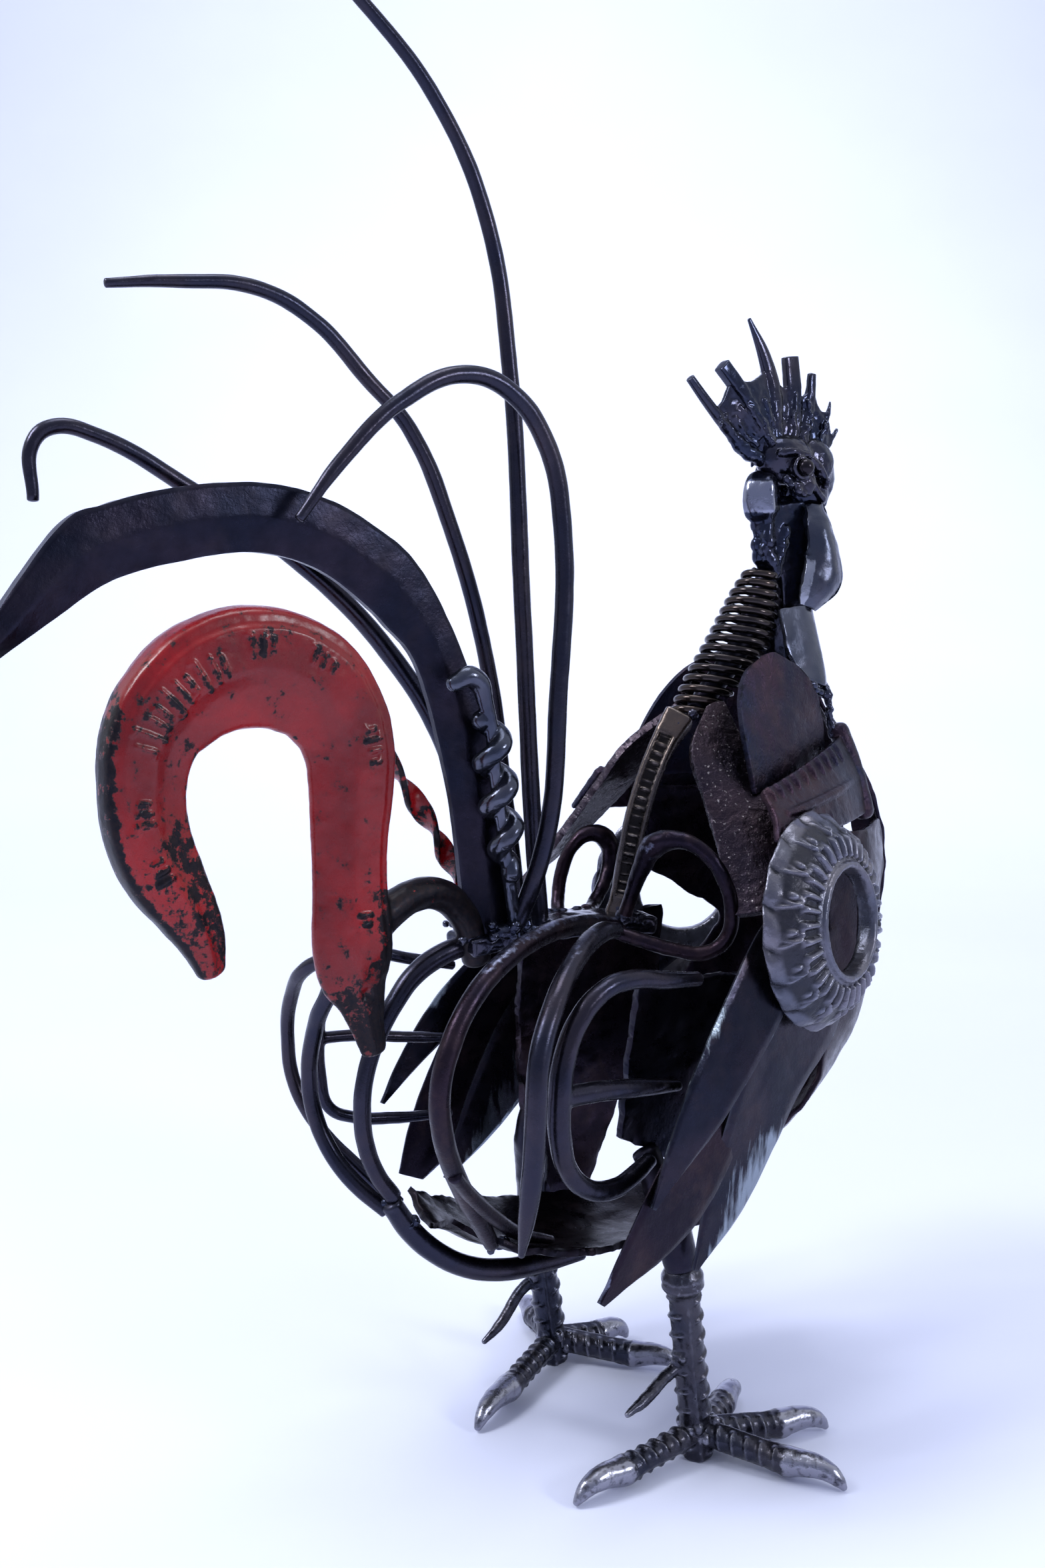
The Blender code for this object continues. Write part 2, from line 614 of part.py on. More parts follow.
def toothed_brackets():
    """Flat bracket with ribbed long edges and a wider, T-shaped front end."""
    upper = [(33, -62, 312), (52, -55, 316), (72, -47, 321), (92, -38, 326), (110, -28, 330), (122, -20, 334)]
    lower = [(28, -79, 291), (48, -73, 291), (68, -66, 291), (90, -57, 292), (112, -44, 293), (126, -35, 294)]
    middle = [tuple((a + b) / 2 for a, b in zip(up, down)) for up, down in zip(upper, lower)]
    middle = [(x + 1, y - 2.5, z - 1) for x, y, z in middle]
    body = plate_mesh([upper, middle, lower], BRACKET_PLATE, stations=8)
    ribs = []
    for line, inset, rib_count in ((upper, 0.14, 6), (lower, 0.14, 4)):
        for i in range(rib_count):
            share = 0.06 + 0.66 * i / (rib_count - 1)
            place = smooth_line(line, 101)[int(share * 100)]
            inward = smooth_line(middle, 101)[int(share * 100)]
            top = place.lerp(inward, inset)
            foot = place.lerp(inward, inset + 0.5)
            out = Vector((0.25, -0.9, 0.25)) * 1.5
            ribs.append(bar_mesh([(*(top + out), 0.8), (*(foot + out), 0.8)], BRACKET_RIB, steps=1, resolution=0))
    ridge = [upper[-1], middle[-1], lower[-1]]
    bead = bar_mesh([(x - 2, y - 2, z, size) for (x, y, z), size in zip(ridge, (1.1, 0.9, 1.1))], BRACKET_BEAD)
    settle_pair("toothed_bracket", fused([body, bead, *ribs]), BLACK_STEEL, shift=-6)


def hub_rings():
    """Dished cast rings with a lobed, gadrooned brim, faces turned outward and forward."""
    inner = RING_HOLE / 2
    outer = RING_ACROSS / 2
    crest = inner + 0.0065
    profile = [(inner, 0.0), (inner + 0.0015, RING_THICK * 0.9), (crest, RING_THICK * 1.15),
               ((crest + outer) / 2, RING_THICK * 0.5), (outer - 0.006, RING_THICK * 0.1 - RING_DISH * 0.45),
               (outer, -RING_DISH * 0.9), (outer - 0.009, -RING_DISH * 0.8),
               ((crest + outer) / 2, -RING_THICK * 0.6)]
    form = bmesh.new()
    points = [form.verts.new((radius, 0, depth)) for radius, depth in profile]
    for i, point in enumerate(points):
        form.edges.new((point, points[(i + 1) % len(points)]))
    mesh = bpy.data.meshes.new("ring")
    form.to_mesh(mesh)
    form.free()
    helper = add_helper("ring", mesh)
    turning = helper.modifiers.new("turning", "SCREW")
    turning.steps = 2 * RING_LOBES
    turning.render_steps = 2 * RING_LOBES
    turning.axis = "Z"
    turning.use_merge_vertices = True
    turning.merge_threshold = 0.00001
    mesh = take_mesh(helper)
    for vertex in mesh.vertices:
        radius = math.hypot(vertex.co.x, vertex.co.y)
        angle = math.atan2(vertex.co.y, vertex.co.x)
        reach = max(0, (radius - crest) / (outer - crest))
        wave = math.cos(RING_LOBES * angle)
        lift = RING_LOBE_DEPTH * wave * reach
        swell = 1 + 0.012 * wave * reach * reach
        vertex.co = Vector((vertex.co.x * swell, vertex.co.y * swell, vertex.co.z + lift))
    settle("hub_ring_right", faced(mesh.copy(), (59, -88, 253), (0.36, -0.93, 0.09)), CAST_GREY)
    settle("hub_ring_left", faced(mesh, (98, 80, 240), (0.55, 0.83, 0.06)), CAST_GREY)


def wing_blades():
    upper_rear = [(28, -80, 262), (12, -84, 250), (-6, -90, 231), (-22, -94, 211), (-36, -97, 190), (-47, -97, 164),
                  (-53, -95, 142)]
    upper_front = [(44, -84, 240), (31, -88, 222), (16, -92, 206), (-1, -96, 190), (-18, -97.5, 173), (-34, -97, 158),
                   (-51, -95, 141)]
    settle("wing_blade_upper_right", plate_mesh([upper_rear, upper_front], BLADE_PLATE, stations=8), BLACK_STEEL)
    short = mirrored(plate_mesh([upper_rear[2:], upper_front[2:]], BLADE_PLATE, stations=7))
    settle("wing_blade_upper_left", sheared(short, lean=-0.30, level=250), BLACK_STEEL)
    lower_rear = [(31, -79, 232), (15, -83, 212), (0, -87, 184), (-9, -86, 158), (-15, -83.5, 131), (-18, -80, 101)]
    lower_front = [(89, -62, 205), (72, -69, 189), (47, -76.5, 172), (29, -79.5, 149), (10, -80, 123),
                   (-15.5, -79.5, 100)]
    settle_pair("wing_blade_lower", plate_mesh([lower_rear, lower_front], BLADE_PLATE, stations=8), BLACK_STEEL,
                lean=-0.30, level=230)
    middle_rear = [(6, -75, 215), (-18, -84, 192), (-38, -90, 166), (-54, -92, 145), (-66, -92, 125), (-77, -91, 104)]
    middle_front = [(32, -69, 205), (16, -78, 176), (0, -85, 152), (-20, -87, 128), (-44, -89, 114), (-74, -90, 102)]
    settle("wing_blade_middle_right", plate_mesh([middle_rear, middle_front], BLADE_PLATE, stations=8), BROWN_STEEL)
    rear = [(0, 86, 215), (-34, 90, 195), (-47, 92, 176), (-58, 94, 154), (-70, 94, 125), (-76, 93, 103)]
    front = [(37, 86, 205), (19, 90, 176), (3, 93, 152), (-17, 94, 128), (-41, 94, 110), (-62, 93, 97)]
    settle("wing_blade_middle_left", plate_mesh([front, rear], BLADE_PLATE, stations=8), BROWN_STEEL)


# Neck and head


def neck_spring():
    """Barrel-shaped coil spring from the handle's top to the neck bar."""
    per_turn = 8
    count = SPRING_COILS * per_turn
    axis = [point * UNIT for point in smooth_line([(39, 0, 344), (70, 0, 380), (85, 0, 416)], count + 1)]
    side = Vector((0, 1, 0))
    across = (axis[-1] - axis[0]).normalized().cross(side)
    coil = []
    for i, middle in enumerate(axis):
        share = i / count
        barrel = 0.50 + 0.50 * math.sin(math.pi * min(1, share * 1.02 + 0.02)) ** 0.85
        radius = SPRING_WIDE / 2 * barrel
        turn = math.tau * i / per_turn
        coil.append((middle + (side * math.cos(turn) + across * math.sin(turn)) * radius, 1))
    settle("neck_spring", wire_mesh(coil, SPRING_WIRE, resolution=0), SPRING_BRONZE)


def neck_bar():
    rear = [(99, 350), (98, 372), (96, 394), (94, 414), (90, 432), (84, 448)]
    front = [(113, 346), (109, 372), (106, 394), (106, 423), (106, 440), (104, 452)]
    lines = [[(x, 0, z) for x, z in edge] for edge in (rear, front)]
    bar = plate_mesh(lines, NECK_BAR_THICK, stations=7, cells=2)
    barrel = bar_mesh([(88, 0, 422, 0.62), (86, 0, 434, 0.72), (83, 0, 443, 1.0), (82, 0, 458, 1.05),
                       (84, 0, 467, 0.8)], NECK_BAR_WIDE)
    lump = ball_mesh((100, 0, 446), 1.3 * NECK_BAR_THICK, (1.2, 1, 1.3))
    settle("neck_bar", fused([bar, barrel, lump]), BLACK_STEEL)


def throat_plate():
    near = [(84, -15, 396), (84, -18, 384), (87, -21, 372), (94, -23, 362)]
    front_near = [(104, -13, 398), (106, -16, 384), (109, -18, 371), (112, -19, 358)]
    front = [(114, 0, 396), (116, 0, 384), (118, 0, 371), (121, 0, 360)]
    lines = [near, front_near, front, [(x, -y, z) for x, y, z in front_near], [(x, -y, z) for x, y, z in near]]
    settle("throat_plate", plate_mesh(lines, THROAT_PLATE, stations=4, cells=7), PALE_STEEL)


def skull():
    """Lumpy welded skull with a short hooked beak, cheeks and the eyes in ring sockets."""
    crown = ball_mesh((99, 0, 471.5), CROWN_ACROSS, (1.05, 0.70, 0.80), 9, 6)
    brow = ball_mesh((118, 1, 471), BROW_ACROSS, (0.85, 0.62, 0.85), 8, 5)
    jaw = ball_mesh((114, 0, 456), JAW_ACROSS, (1.0, 0.7, 0.75), 8, 5)
    beak = bar_mesh([(118, 2, 470, 1), (127, 6, 468, 0.85), (134, 10, 461, 0.6), (137, 13, 452, 0.22)], BEAK_ROOT)
    parts = [crown, brow, jaw, beak]
    for side in (-1, 1):
        parts.append(ball_mesh((103, side * 11, 461), CHEEK_ACROSS, (1.1, 0.7, 1), 7, 5))
        form = bmesh.new()
        bmesh.ops.create_cone(form, cap_ends=True, segments=9, radius1=EYE_SOCKET / 2 * 1.15,
                              radius2=EYE_SOCKET / 2, depth=SOCKET_DEEP)
        turn = Vector((0.12, side, 0.05)).to_track_quat("Z", "Y")
        for vertex in form.verts:
            vertex.co = at(96, side * 9.5, 468) + turn @ vertex.co
        socket = bpy.data.meshes.new("socket")
        form.to_mesh(socket)
        form.free()
        parts.append(socket)
        parts.append(ball_mesh((97, side * 15.2, 468.3), EYE_BALL, (1, 1, 1), 8, 5))
    settle("skull", fused(parts), BLACK_STEEL)


def comb():
    """Fan of spikes and cut nails, joined by a web of weld metal."""
    spikes = [
        [(71, 0, 478, 1.2), (59, -1, 486, 1.1), (47, -2, 496, 1.0), (36, -2, 507, 0.75)],
        [(90, -2, 476, 0.9), (78, -4, 489, 1.0), (66, -5, 501.5, 1.1), (53, -5, 514, 1.1)],
        [(90, 0, 480, 1.4), (90, 0, 500, 1.35), (84, 0, 521, 0.95), (74, 0, 539, 0.3)],
        [(102, 0, 478, 1.2), (105, 1, 497, 1.3), (104, 1, 508, 1.35), (102, 1, 523, 1.25)],
        [(109, 0, 477, 1.1), (114, 1, 493, 1.0), (116, 1, 505, 0.85), (117, 1, 516, 0.7)],
        [(116, 0, 476, 1.0), (124, 1, 486, 0.75), (128, 1, 495, 0.5), (130, 1, 503, 0.18)],
        [(120, 1, 474, 0.9), (130, 3, 481, 0.7), (137, 3, 490, 0.25)],
    ]
    parts = [bar_mesh(path, COMB_SPIKE, resolution=0) for path in spikes]
    root = [(70, 0, 473), (82, 0, 471), (94, 0, 470), (106, 0, 470), (117, 0, 469), (124, 1, 470)]
    rim = [(55, -1, 491), (66, -4, 508), (85, -3, 514), (101, 0, 512), (114, 1, 499), (128, 1, 486)]
    parts.append(plate_mesh([root, rim], COMB_WEB, stations=9, cells=2))
    settle("comb", fused(parts), BLACK_STEEL)


def wattles():
    """Two thick leaf-shaped lappets under the beak."""
    rear = [(108, -6, 448), (104, -11, 436), (103, -13, 422), (99, -14, 409), (99, -13, 399)]
    front = [(118, -6, 450), (121, -10, 437), (125, -12, 421), (124, -13, 407), (108, -13, 396)]
    crown = [(113, -9, 449), (113, -15, 436), (114, -18, 421), (112, -19, 408), (104, -15, 397)]
    mesh = plate_mesh([rear, crown, front], WATTLE_THICK, stations=6, cells=3)
    settle_pair("wattle", mesh, PALE_STEEL)


# Legs


def ribbed_points(start, end, across, ribs, bare=0.06):
    """Points of a straight ribbed bar, one ring on each rib and one on either side of it."""
    points = [(start, 1)]
    crest = 1 + 2 * RIB_HEIGHT / across
    for i in range(2 * ribs + 1):
        share = bare + (1 - 2 * bare) * i / (2 * ribs)
        points.append((start.lerp(end, share), crest if i % 2 else 1))
    points.append((end, 1))
    return points


def toe_mesh(foot, tip_x, tip_y):
    """Ribbed bar from the foot to a knuckle, then a blunt claw that comes down to the floor."""
    hub = Vector((foot.x, foot.y, 12.5 * UNIT))
    tip = at(tip_x, tip_y, 0)
    along = Vector((tip.x - foot.x, tip.y - foot.y, 0))
    up = Vector((0, 0, UNIT))

    def place(share, height):
        return foot + along * share + up * height

    joint = ribbed_points(hub + along * 0.02, place(0.56, 8.6), TOE_BAR, TOE_RIBS, 0.10)
    claw = [(place(0.62, 8.4), 1.15), (place(0.70, 9.0), 1.02), (place(0.80, 9.4), 0.90), (place(0.90, 8.0), 0.74),
            (place(0.965, 5.0), 0.52), (place(1.0, 2.4), 0.28)]
    return wire_mesh(joint + claw, TOE_BAR)


def leg(name, foot, ankle, toes, spur_tip, thigh_top):
    """Shank, toes and thigh of one leg."""
    shank = wire_mesh(ribbed_points(foot, ankle, SHANK_BAR, SHANK_RIBS), SHANK_BAR, resolution=2)
    for vertex in shank.vertices:
        vertex.co.z = max(vertex.co.z, 0.0002)
    x, y, z = (value / UNIT for value in ankle)
    collar = bar_mesh([(x + 0.6, y, z - 5, 0.86), (x + 0.2, y, z - 2, 1), (x - 0.4, y, z + 2, 1),
                       (x - 0.8, y, z + 5, 0.84)], COLLAR_ACROSS, steps=1)
    spur_foot = foot.lerp(ankle, 0.53) / UNIT
    spur = bar_mesh([(spur_foot.x - 3, spur_foot.y, spur_foot.z, 1.3), (spur_foot.x - 11, spur_foot.y, 45, 1.1),
                     (*(Vector(spur_tip) * 0.75 + spur_foot * 0.25), 1), (*spur_tip, 0.6)], SPUR)
    settle("shank_" + name, fused([shank, collar, spur]), BAR_STEEL)
    for toe, (tip_x, tip_y) in toes.items():
        settle("toe_" + toe + "_" + name, toe_mesh(foot, tip_x, tip_y), BAR_STEEL)
    thigh = bar_mesh([(x - 1, y, z + 6, 0.80), (x - 3, y * 0.95, z + 22, 0.86), (x - 7, y * 0.86, z + 42, 0.78),
                      (*thigh_top, 0.62)], 0.0200)
    settle("thigh_" + name, thigh, BLACK_STEEL)


def legs():
    right = {"outer": (36, -123), "middle": (66, -79), "inner": (50, -31), "back": (-73, -69)}
    leg("right", at(0, -63, 0), at(-9.5, -62, 88), right, (-47, -71, 37), (-20, -46, 146))
    left = {"outer": (10, 108), "middle": (40, 50), "inner": (42, 3), "back": (-78, 9)}
    leg("left", at(-6, 51, 0), at(-18, 53, 88), left, (-50, 50, 22), (-22, 46, 146))


def stand_on_origin():
    """Hang every piece on one empty, so that the middle of the box's underside is the origin."""
    corners = [vertex.co for piece in placed for vertex in piece.data.vertices]
    lowest = Vector(min(point[axis] for point in corners) for axis in range(3))
    highest = Vector(max(point[axis] for point in corners) for axis in range(3))
    stand = bpy.data.objects.new("stand", None)
    rooster.objects.link(stand)
    stand.location = (-(lowest.x + highest.x) / 2, -(lowest.y + highest.y) / 2, -lowest.z)
    for piece in placed:
        piece.parent = stand
        piece.data.shade_smooth()
        piece.data.set_sharp_from_angle(angle=math.radians(38))


def build_rooster():
    back_plate()
    belly_plate()
    handle_and_bows()
    cage()
    forks()
    crane_hook()
    sickle_bar()
    tail_rods()
    auger()
    twisted_strip()
    hub_rings()
    wing_blades()
    rough_plates()
    toothed_brackets()
    tongue_plates()
    breast_strip()
    breast_plates()
    hip_plates()
    neck_spring()
    neck_bar()
    throat_plate()
    skull()
    comb()
    wattles()
    legs()
    stand_on_origin()


for leftover in list(bpy.data.objects):
    bpy.data.objects.remove(leftover)
for collection in (rooster, helpers):
    bpy.context.scene.collection.children.link(collection)
build_rooster()
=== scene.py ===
"""Looks of the scrap metal rooster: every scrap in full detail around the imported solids.

Points are in the part's drawn units, millimetres with X forward, Y left and Z up from the floor between
the feet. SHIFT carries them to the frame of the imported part, in metres.
"""
import math

import bpy
import numpy as np
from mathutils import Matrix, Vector
from mathutils.kdtree import KDTree


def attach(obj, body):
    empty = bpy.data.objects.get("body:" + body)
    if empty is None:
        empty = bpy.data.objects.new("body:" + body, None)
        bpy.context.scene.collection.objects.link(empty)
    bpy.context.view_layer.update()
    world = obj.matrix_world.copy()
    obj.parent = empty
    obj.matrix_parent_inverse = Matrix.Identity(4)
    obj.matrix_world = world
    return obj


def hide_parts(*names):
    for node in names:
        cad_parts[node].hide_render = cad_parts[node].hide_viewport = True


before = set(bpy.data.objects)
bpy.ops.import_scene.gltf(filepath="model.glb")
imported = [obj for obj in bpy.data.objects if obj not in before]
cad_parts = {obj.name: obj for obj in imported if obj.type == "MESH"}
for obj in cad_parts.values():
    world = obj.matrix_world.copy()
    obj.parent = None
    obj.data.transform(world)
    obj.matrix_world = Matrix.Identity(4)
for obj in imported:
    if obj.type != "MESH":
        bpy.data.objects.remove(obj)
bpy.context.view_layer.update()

UNIT = 0.001
SHIFT = np.array([0.06931, 0.00751, -0.0002])
chance = np.random.default_rng(11)


# Noise


def lattice(cell, seed):
    """Repeatable value from -1 to 1 for each whole-number cell."""
    mix = (cell[..., 0] * 73856093) ^ (cell[..., 1] * 19349663) ^ (cell[..., 2] * 83492791) ^ (seed * 40503)
    mix = (mix ^ (mix >> 13)) * 1274126177 & 0xFFFFFFFF
    mix = (mix ^ (mix >> 16)) & 0xFFFFFFFF
    return mix / 2147483647.5 - 1


def field(points, size, seed=0):
    """Smooth noise from -1 to 1 with features of about that size."""
    place = points / size
    cell = np.floor(place).astype(np.int64)
    share = place - cell
    share = share * share * (3 - 2 * share)
    total = 0
    for corner in range(8):
        step = np.array([corner & 1, corner >> 1 & 1, corner >> 2])
        total = total + np.prod(np.where(step, share, 1 - share), axis=-1) * lattice(cell + step, seed)
    return total


def rough(points, size, octaves=3, seed=0):
    """Noise of several sizes, each half the one before."""
    return sum(field(points, size / 2 ** i, seed + i) / 2 ** i for i in range(octaves))


# Lines and forms: a form is (points in drawn units, faces)


def smooth(points, count):
    """That many points along a smooth line through the given ones."""
    p = np.array(points, float)
    p = np.vstack([2 * p[0] - p[1], p, 2 * p[-1] - p[-2]])
    place = np.linspace(0, len(points) - 1, count)
    span = np.minimum(place.astype(int), len(points) - 2)
    t = (place - span)[:, None]
    a, b, c, d = (p[span + i] for i in range(4))
    return 0.5 * (2 * b + (c - a) * t + (2 * a - 5 * b + 4 * c - d) * t ** 2
        + (3 * b - a - 3 * c + d) * t ** 3)


def bend(points, step):
    """Even steps along the bent line through points (x, y, z, share of the thickness if it isn't 1)."""
    p = np.array([(*point, 1)[:4] for point in points], float)
    xyz = p[:, :3]
    legs = np.diff(xyz, axis=0)
    long = np.linalg.norm(legs, axis=1)[:, None]
    unit = legs / long
    turn = np.vstack([2 * unit[:1], unit[:-1] + unit[1:], 2 * unit[-1:]])
    size = np.linalg.norm(turn, axis=1)[:, None] * 2.5614
    ahead = xyz[:-1] + turn[:-1] * long / size[:-1]
    behind = xyz[1:] - turn[1:] * long / size[1:]
    t = np.linspace(0, 1, 24, endpoint=False)[None, :, None]
    a, b, c, d = (v[:, None, :] for v in (xyz[:-1], ahead, behind, xyz[1:]))
    dense = a * (1 - t) ** 3 + 3 * b * t * (1 - t) ** 2 + 3 * c * t * t * (1 - t) + d * t ** 3
    dense = np.vstack([dense.reshape(-1, 3), xyz[-1:]])
    share = smooth(p[:, 3:4], len(dense))
    dense = np.hstack([dense, share])
    run = np.concatenate([[0], np.cumsum(np.linalg.norm(np.diff(dense[:, :3], axis=0), axis=1))])
    even = np.linspace(0, run[-1], max(3, int(round(run[-1] / step)) + 1))
    return np.column_stack([np.interp(even, run, dense[:, i]) for i in range(4)])


def at(*numbers):
    return np.array(numbers, float)


def unit_rows(v):
    return v / np.maximum(np.linalg.norm(v, axis=-1, keepdims=True), 1e-9)


def rise(value, start, width):
    """Share that grows from 0 at the start to 1 after that width."""
    return np.clip((value - start) / width, 0, 1)


def fall(value, end, width):
    """Share that shrinks to 0 at the end, over that width."""
    return np.clip((end - value) / width, 0, 1)


def sweep(path, across, ring=16, step=1.8, flat=1.0, side=None, square=2.0, cap=0.35, swell=None,
        section=None):
    """Closed bar along a line. swell(run, angle, share of the run) gives extra radius for each point."""
    line = bend(path, step)
    centre, radius = line[:, :3], line[:, 3:4] * across / 2
    ahead = unit_rows(np.gradient(centre, axis=0))
    if side is None:
        first = Vector(ahead[0]).orthogonal().normalized()
        normals = [np.array(first)]
        for i in range(1, len(ahead)):
            turn = Vector(ahead[i - 1]).rotation_difference(Vector(ahead[i]))
            normals.append(np.array(turn @ Vector(normals[-1])))
        u = unit_rows(np.array(normals))
        v = np.cross(ahead, u)
    else:
        v = np.array(side, float)[None, :] - (ahead @ np.array(side, float))[:, None] * ahead
        v = unit_rows(v)
        u = np.cross(v, ahead)
    angle = np.linspace(0, math.tau, ring, endpoint=False)
    cos, sin = np.cos(angle), np.sin(angle)
    if square != 2.0:
        cos = np.sign(cos) * np.abs(cos) ** (2 / square)
        sin = np.sign(sin) * np.abs(sin) ** (2 / square)
    if section is not None:
        sin = np.sign(sin) * np.interp(cos, *section)
    run = np.concatenate([[0], np.cumsum(np.linalg.norm(np.diff(centre, axis=0), axis=1))])
    more = swell(run[:, None], angle[None, :], run[:, None] / run[-1]) if swell else np.zeros((1, ring))
    around = cos[None, :, None] * u[:, None, :] + flat * sin[None, :, None] * v[:, None, :]
    rings = centre[:, None, :] + (radius + more)[..., None] * around
    if cap:
        for end, way in ((0, -1), (-1, 1)):
            extra = []
            for lift in (28, 52, 72, 85):
                c = centre[end] + ahead[end] * way * cap * radius[end] * math.sin(math.radians(lift))
                extra.append(c + (rings[end] - centre[end]) * math.cos(math.radians(lift)))
            rings = np.vstack([extra[::-1], rings] if way < 0 else [rings, extra])
    return tube_faces(rings)


def tube_faces(rings, closed=False):
    """Form through rings of points, capped at both ends unless it closes on itself."""
    count, ring = rings.shape[:2]
    last = count if closed else count - 1
    i, j = np.meshgrid(np.arange(last), np.arange(ring), indexing="ij")
    k, m = (i + 1) % count, (j + 1) % ring
    faces = np.stack([i * ring + j, i * ring + m, k * ring + m, k * ring + j], -1).reshape(-1, 4).tolist()
    if not closed:
        faces += [list(range(ring))[::-1], list(range((count - 1) * ring, count * ring))]
    return rings.reshape(-1, 3), faces


def ball(place, radii, parts=(14, 9)):
    """Lump with three radii about a point."""
    around, up = parts
    a = np.linspace(0, math.tau, around, endpoint=False)
    b = np.linspace(-math.pi / 2, math.pi / 2, up)[1:-1]
    rows = np.stack([np.outer(np.cos(b), np.cos(a)), np.outer(np.cos(b), np.sin(a)),
        np.outer(np.sin(b), np.ones(around))], -1) * np.array(radii, float)
    return tube_faces(rows + np.array(place, float))


def drips(points, radius, spread=0.0, gap=0.75, stretch=1.0):
    """Run of weld drops along a line of points."""
    line = bend([(*p[:3], 1) for p in points], radius * gap)[:, :3]
    forms = []
    for place in line:
        size = radius * chance.uniform(0.75, 1.2)
        jitter = chance.normal(0, 1, 3) * spread
        forms.append(ball(place + jitter, (size, size, size * stretch), parts=(10, 7)))
    return forms


def merged(forms):
    """Several forms as one list of points and faces."""
    points, faces, base = [], [], 0
    for p, f in forms:
        points.append(p)
        faces += [[index + base for index in face] for face in f]
        base += len(p)
    return np.vstack(points), faces


def solid(name, form):
    """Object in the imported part's frame from a form."""
    points, faces = form
    mesh = bpy.data.meshes.new(name)
    mesh.from_pydata((points * UNIT + SHIFT).tolist(), [], faces)
    mesh.validate()
    piece = bpy.data.objects.new(name, mesh)
    bpy.context.scene.collection.objects.link(piece)
    return piece


def worked_in(piece):
    """Work the piece's modifiers into its mesh."""
    graph = bpy.context.evaluated_depsgraph_get()
    mesh = bpy.data.meshes.new_from_object(piece.evaluated_get(graph))
    piece.modifiers.clear()
    piece.data = mesh
    return piece


def melt(name, forms, voxel=0.7, relax=2):
    """One skin round forms that overlap, as if welded and run together."""
    piece = solid(name, merged(forms))
    skin = piece.modifiers.new("skin", "REMESH")
    skin.mode = "VOXEL"
    skin.voxel_size = voxel * UNIT
    if relax:
        soft = piece.modifiers.new("soft", "SMOOTH")
        soft.iterations = relax
    return worked_in(piece)


def points_of(piece):
    """Points of a piece in drawn units."""
    p = np.empty(len(piece.data.vertices) * 3)
    piece.data.vertices.foreach_get("co", p)
    return (p.reshape(-1, 3) - SHIFT) / UNIT


def normals_of(piece):
    n = np.empty(len(piece.data.vertices) * 3)
    piece.data.vertex_normals.foreach_get("vector", n)
    return n.reshape(-1, 3)


def move_points(piece, points):
    piece.data.vertices.foreach_set("co", (points * UNIT + SHIFT).ravel())
    piece.data.update()


def roughen(piece, amount, size, octaves=3, seed=0):
    """Push the skin in and out along its normals."""
    p = points_of(piece)
    move_points(piece, p + normals_of(piece) * (amount * rough(p, size, octaves, seed))[:, None])


def mark(piece, name, values):
    """Keep a number for each point, which the materials read."""
    layer = piece.data.attributes.get(name) or piece.data.attributes.new(name, "FLOAT", "POINT")
    layer.data.foreach_set("value", np.clip(values, 0, 1).astype(np.float32))


def read_mark(piece, name):
    layer = piece.data.attributes[name]
    values = np.empty(len(piece.data.vertices), np.float32)
    layer.data.foreach_get("value", values)
    return values


def plate(name, lines, thick, stations=60, cells=16, edge=0.3, thin=None, ragged=0.0):
    """Bent plate between lines that run side by side. Its marks run and cross say where a point is."""
    grid = np.array([smooth(line, stations) for line in lines]).transpose(1, 0, 2)
    grid = np.array([smooth(row, cells + 1) for row in grid])
    run, cross = np.meshgrid(np.linspace(0, 1, stations), np.linspace(0, 1, cells + 1), indexing="ij")
    if ragged:
        rim = np.maximum(np.abs(cross - 0.5) * 2, np.abs(run - 0.5) * 2) ** 8
        push = np.stack([rough(grid, 9, 3, 3 + k) for k in range(3)], -1)
        grid = grid + push * (ragged * rim)[..., None]
    i, j = np.meshgrid(np.arange(stations - 1), np.arange(cells), indexing="ij")
    wide = cells + 1
    faces = np.stack([i * wide + j, i * wide + j + 1, (i + 1) * wide + j + 1, (i + 1) * wide + j], -1)
    piece = solid(name, (grid.reshape(-1, 3), faces.reshape(-1, 4).tolist()))
    mark(piece, "run", run.ravel())
    mark(piece, "cross", cross.ravel())
    body = piece.modifiers.new("thickness", "SOLIDIFY")
    body.thickness = thick * UNIT
    body.offset = 0
    if thin is not None:
        group = piece.vertex_groups.new(name="thin")
        for index, weight in enumerate(thin(run, cross).ravel()):
            group.add([index], float(weight), "REPLACE")
        body.vertex_group = "thin"
        body.thickness_vertex_group = 0.0
    if edge:
        bevel = piece.modifiers.new("edge", "BEVEL")
        bevel.width = thick * edge * UNIT
        bevel.segments = 2
        bevel.limit_method = "ANGLE"
        bevel.angle_limit = math.radians(50)
    worked_in(piece)
    piece.vertex_groups.clear()
    return piece


def nearest(marks, points):
    """For each point the number of the nearest mark, and how far it is."""
    tree = KDTree(len(marks))
    for index, place in enumerate(marks):
        tree.insert(place, index)
    tree.balance()
    found = [tree.find(place)[1:] for place in points]
    return np.array([index for index, _ in found]), np.array([away for _, away in found])


def form_of(piece):
    """Form of a piece, which is then removed."""
    form = (points_of(piece), [list(face.vertices) for face in piece.data.polygons])
    bpy.data.objects.remove(piece)
    return form


def other_side(piece, name, shift=0.0, lean=0.0, level=0.0):
    """Mirror image of a piece on the rooster's left, moved forward and leaning by these drawn amounts."""
    twin = bpy.data.objects.new(name, piece.data.copy())
    bpy.context.scene.collection.objects.link(twin)
    p = points_of(twin)
    p[:, 1] *= -1
    p[:, 0] += shift + lean * (level - p[:, 2])
    move_points(twin, p)
    twin.data.flip_normals()
    return twin


# Materials

METALLIC = 0.92


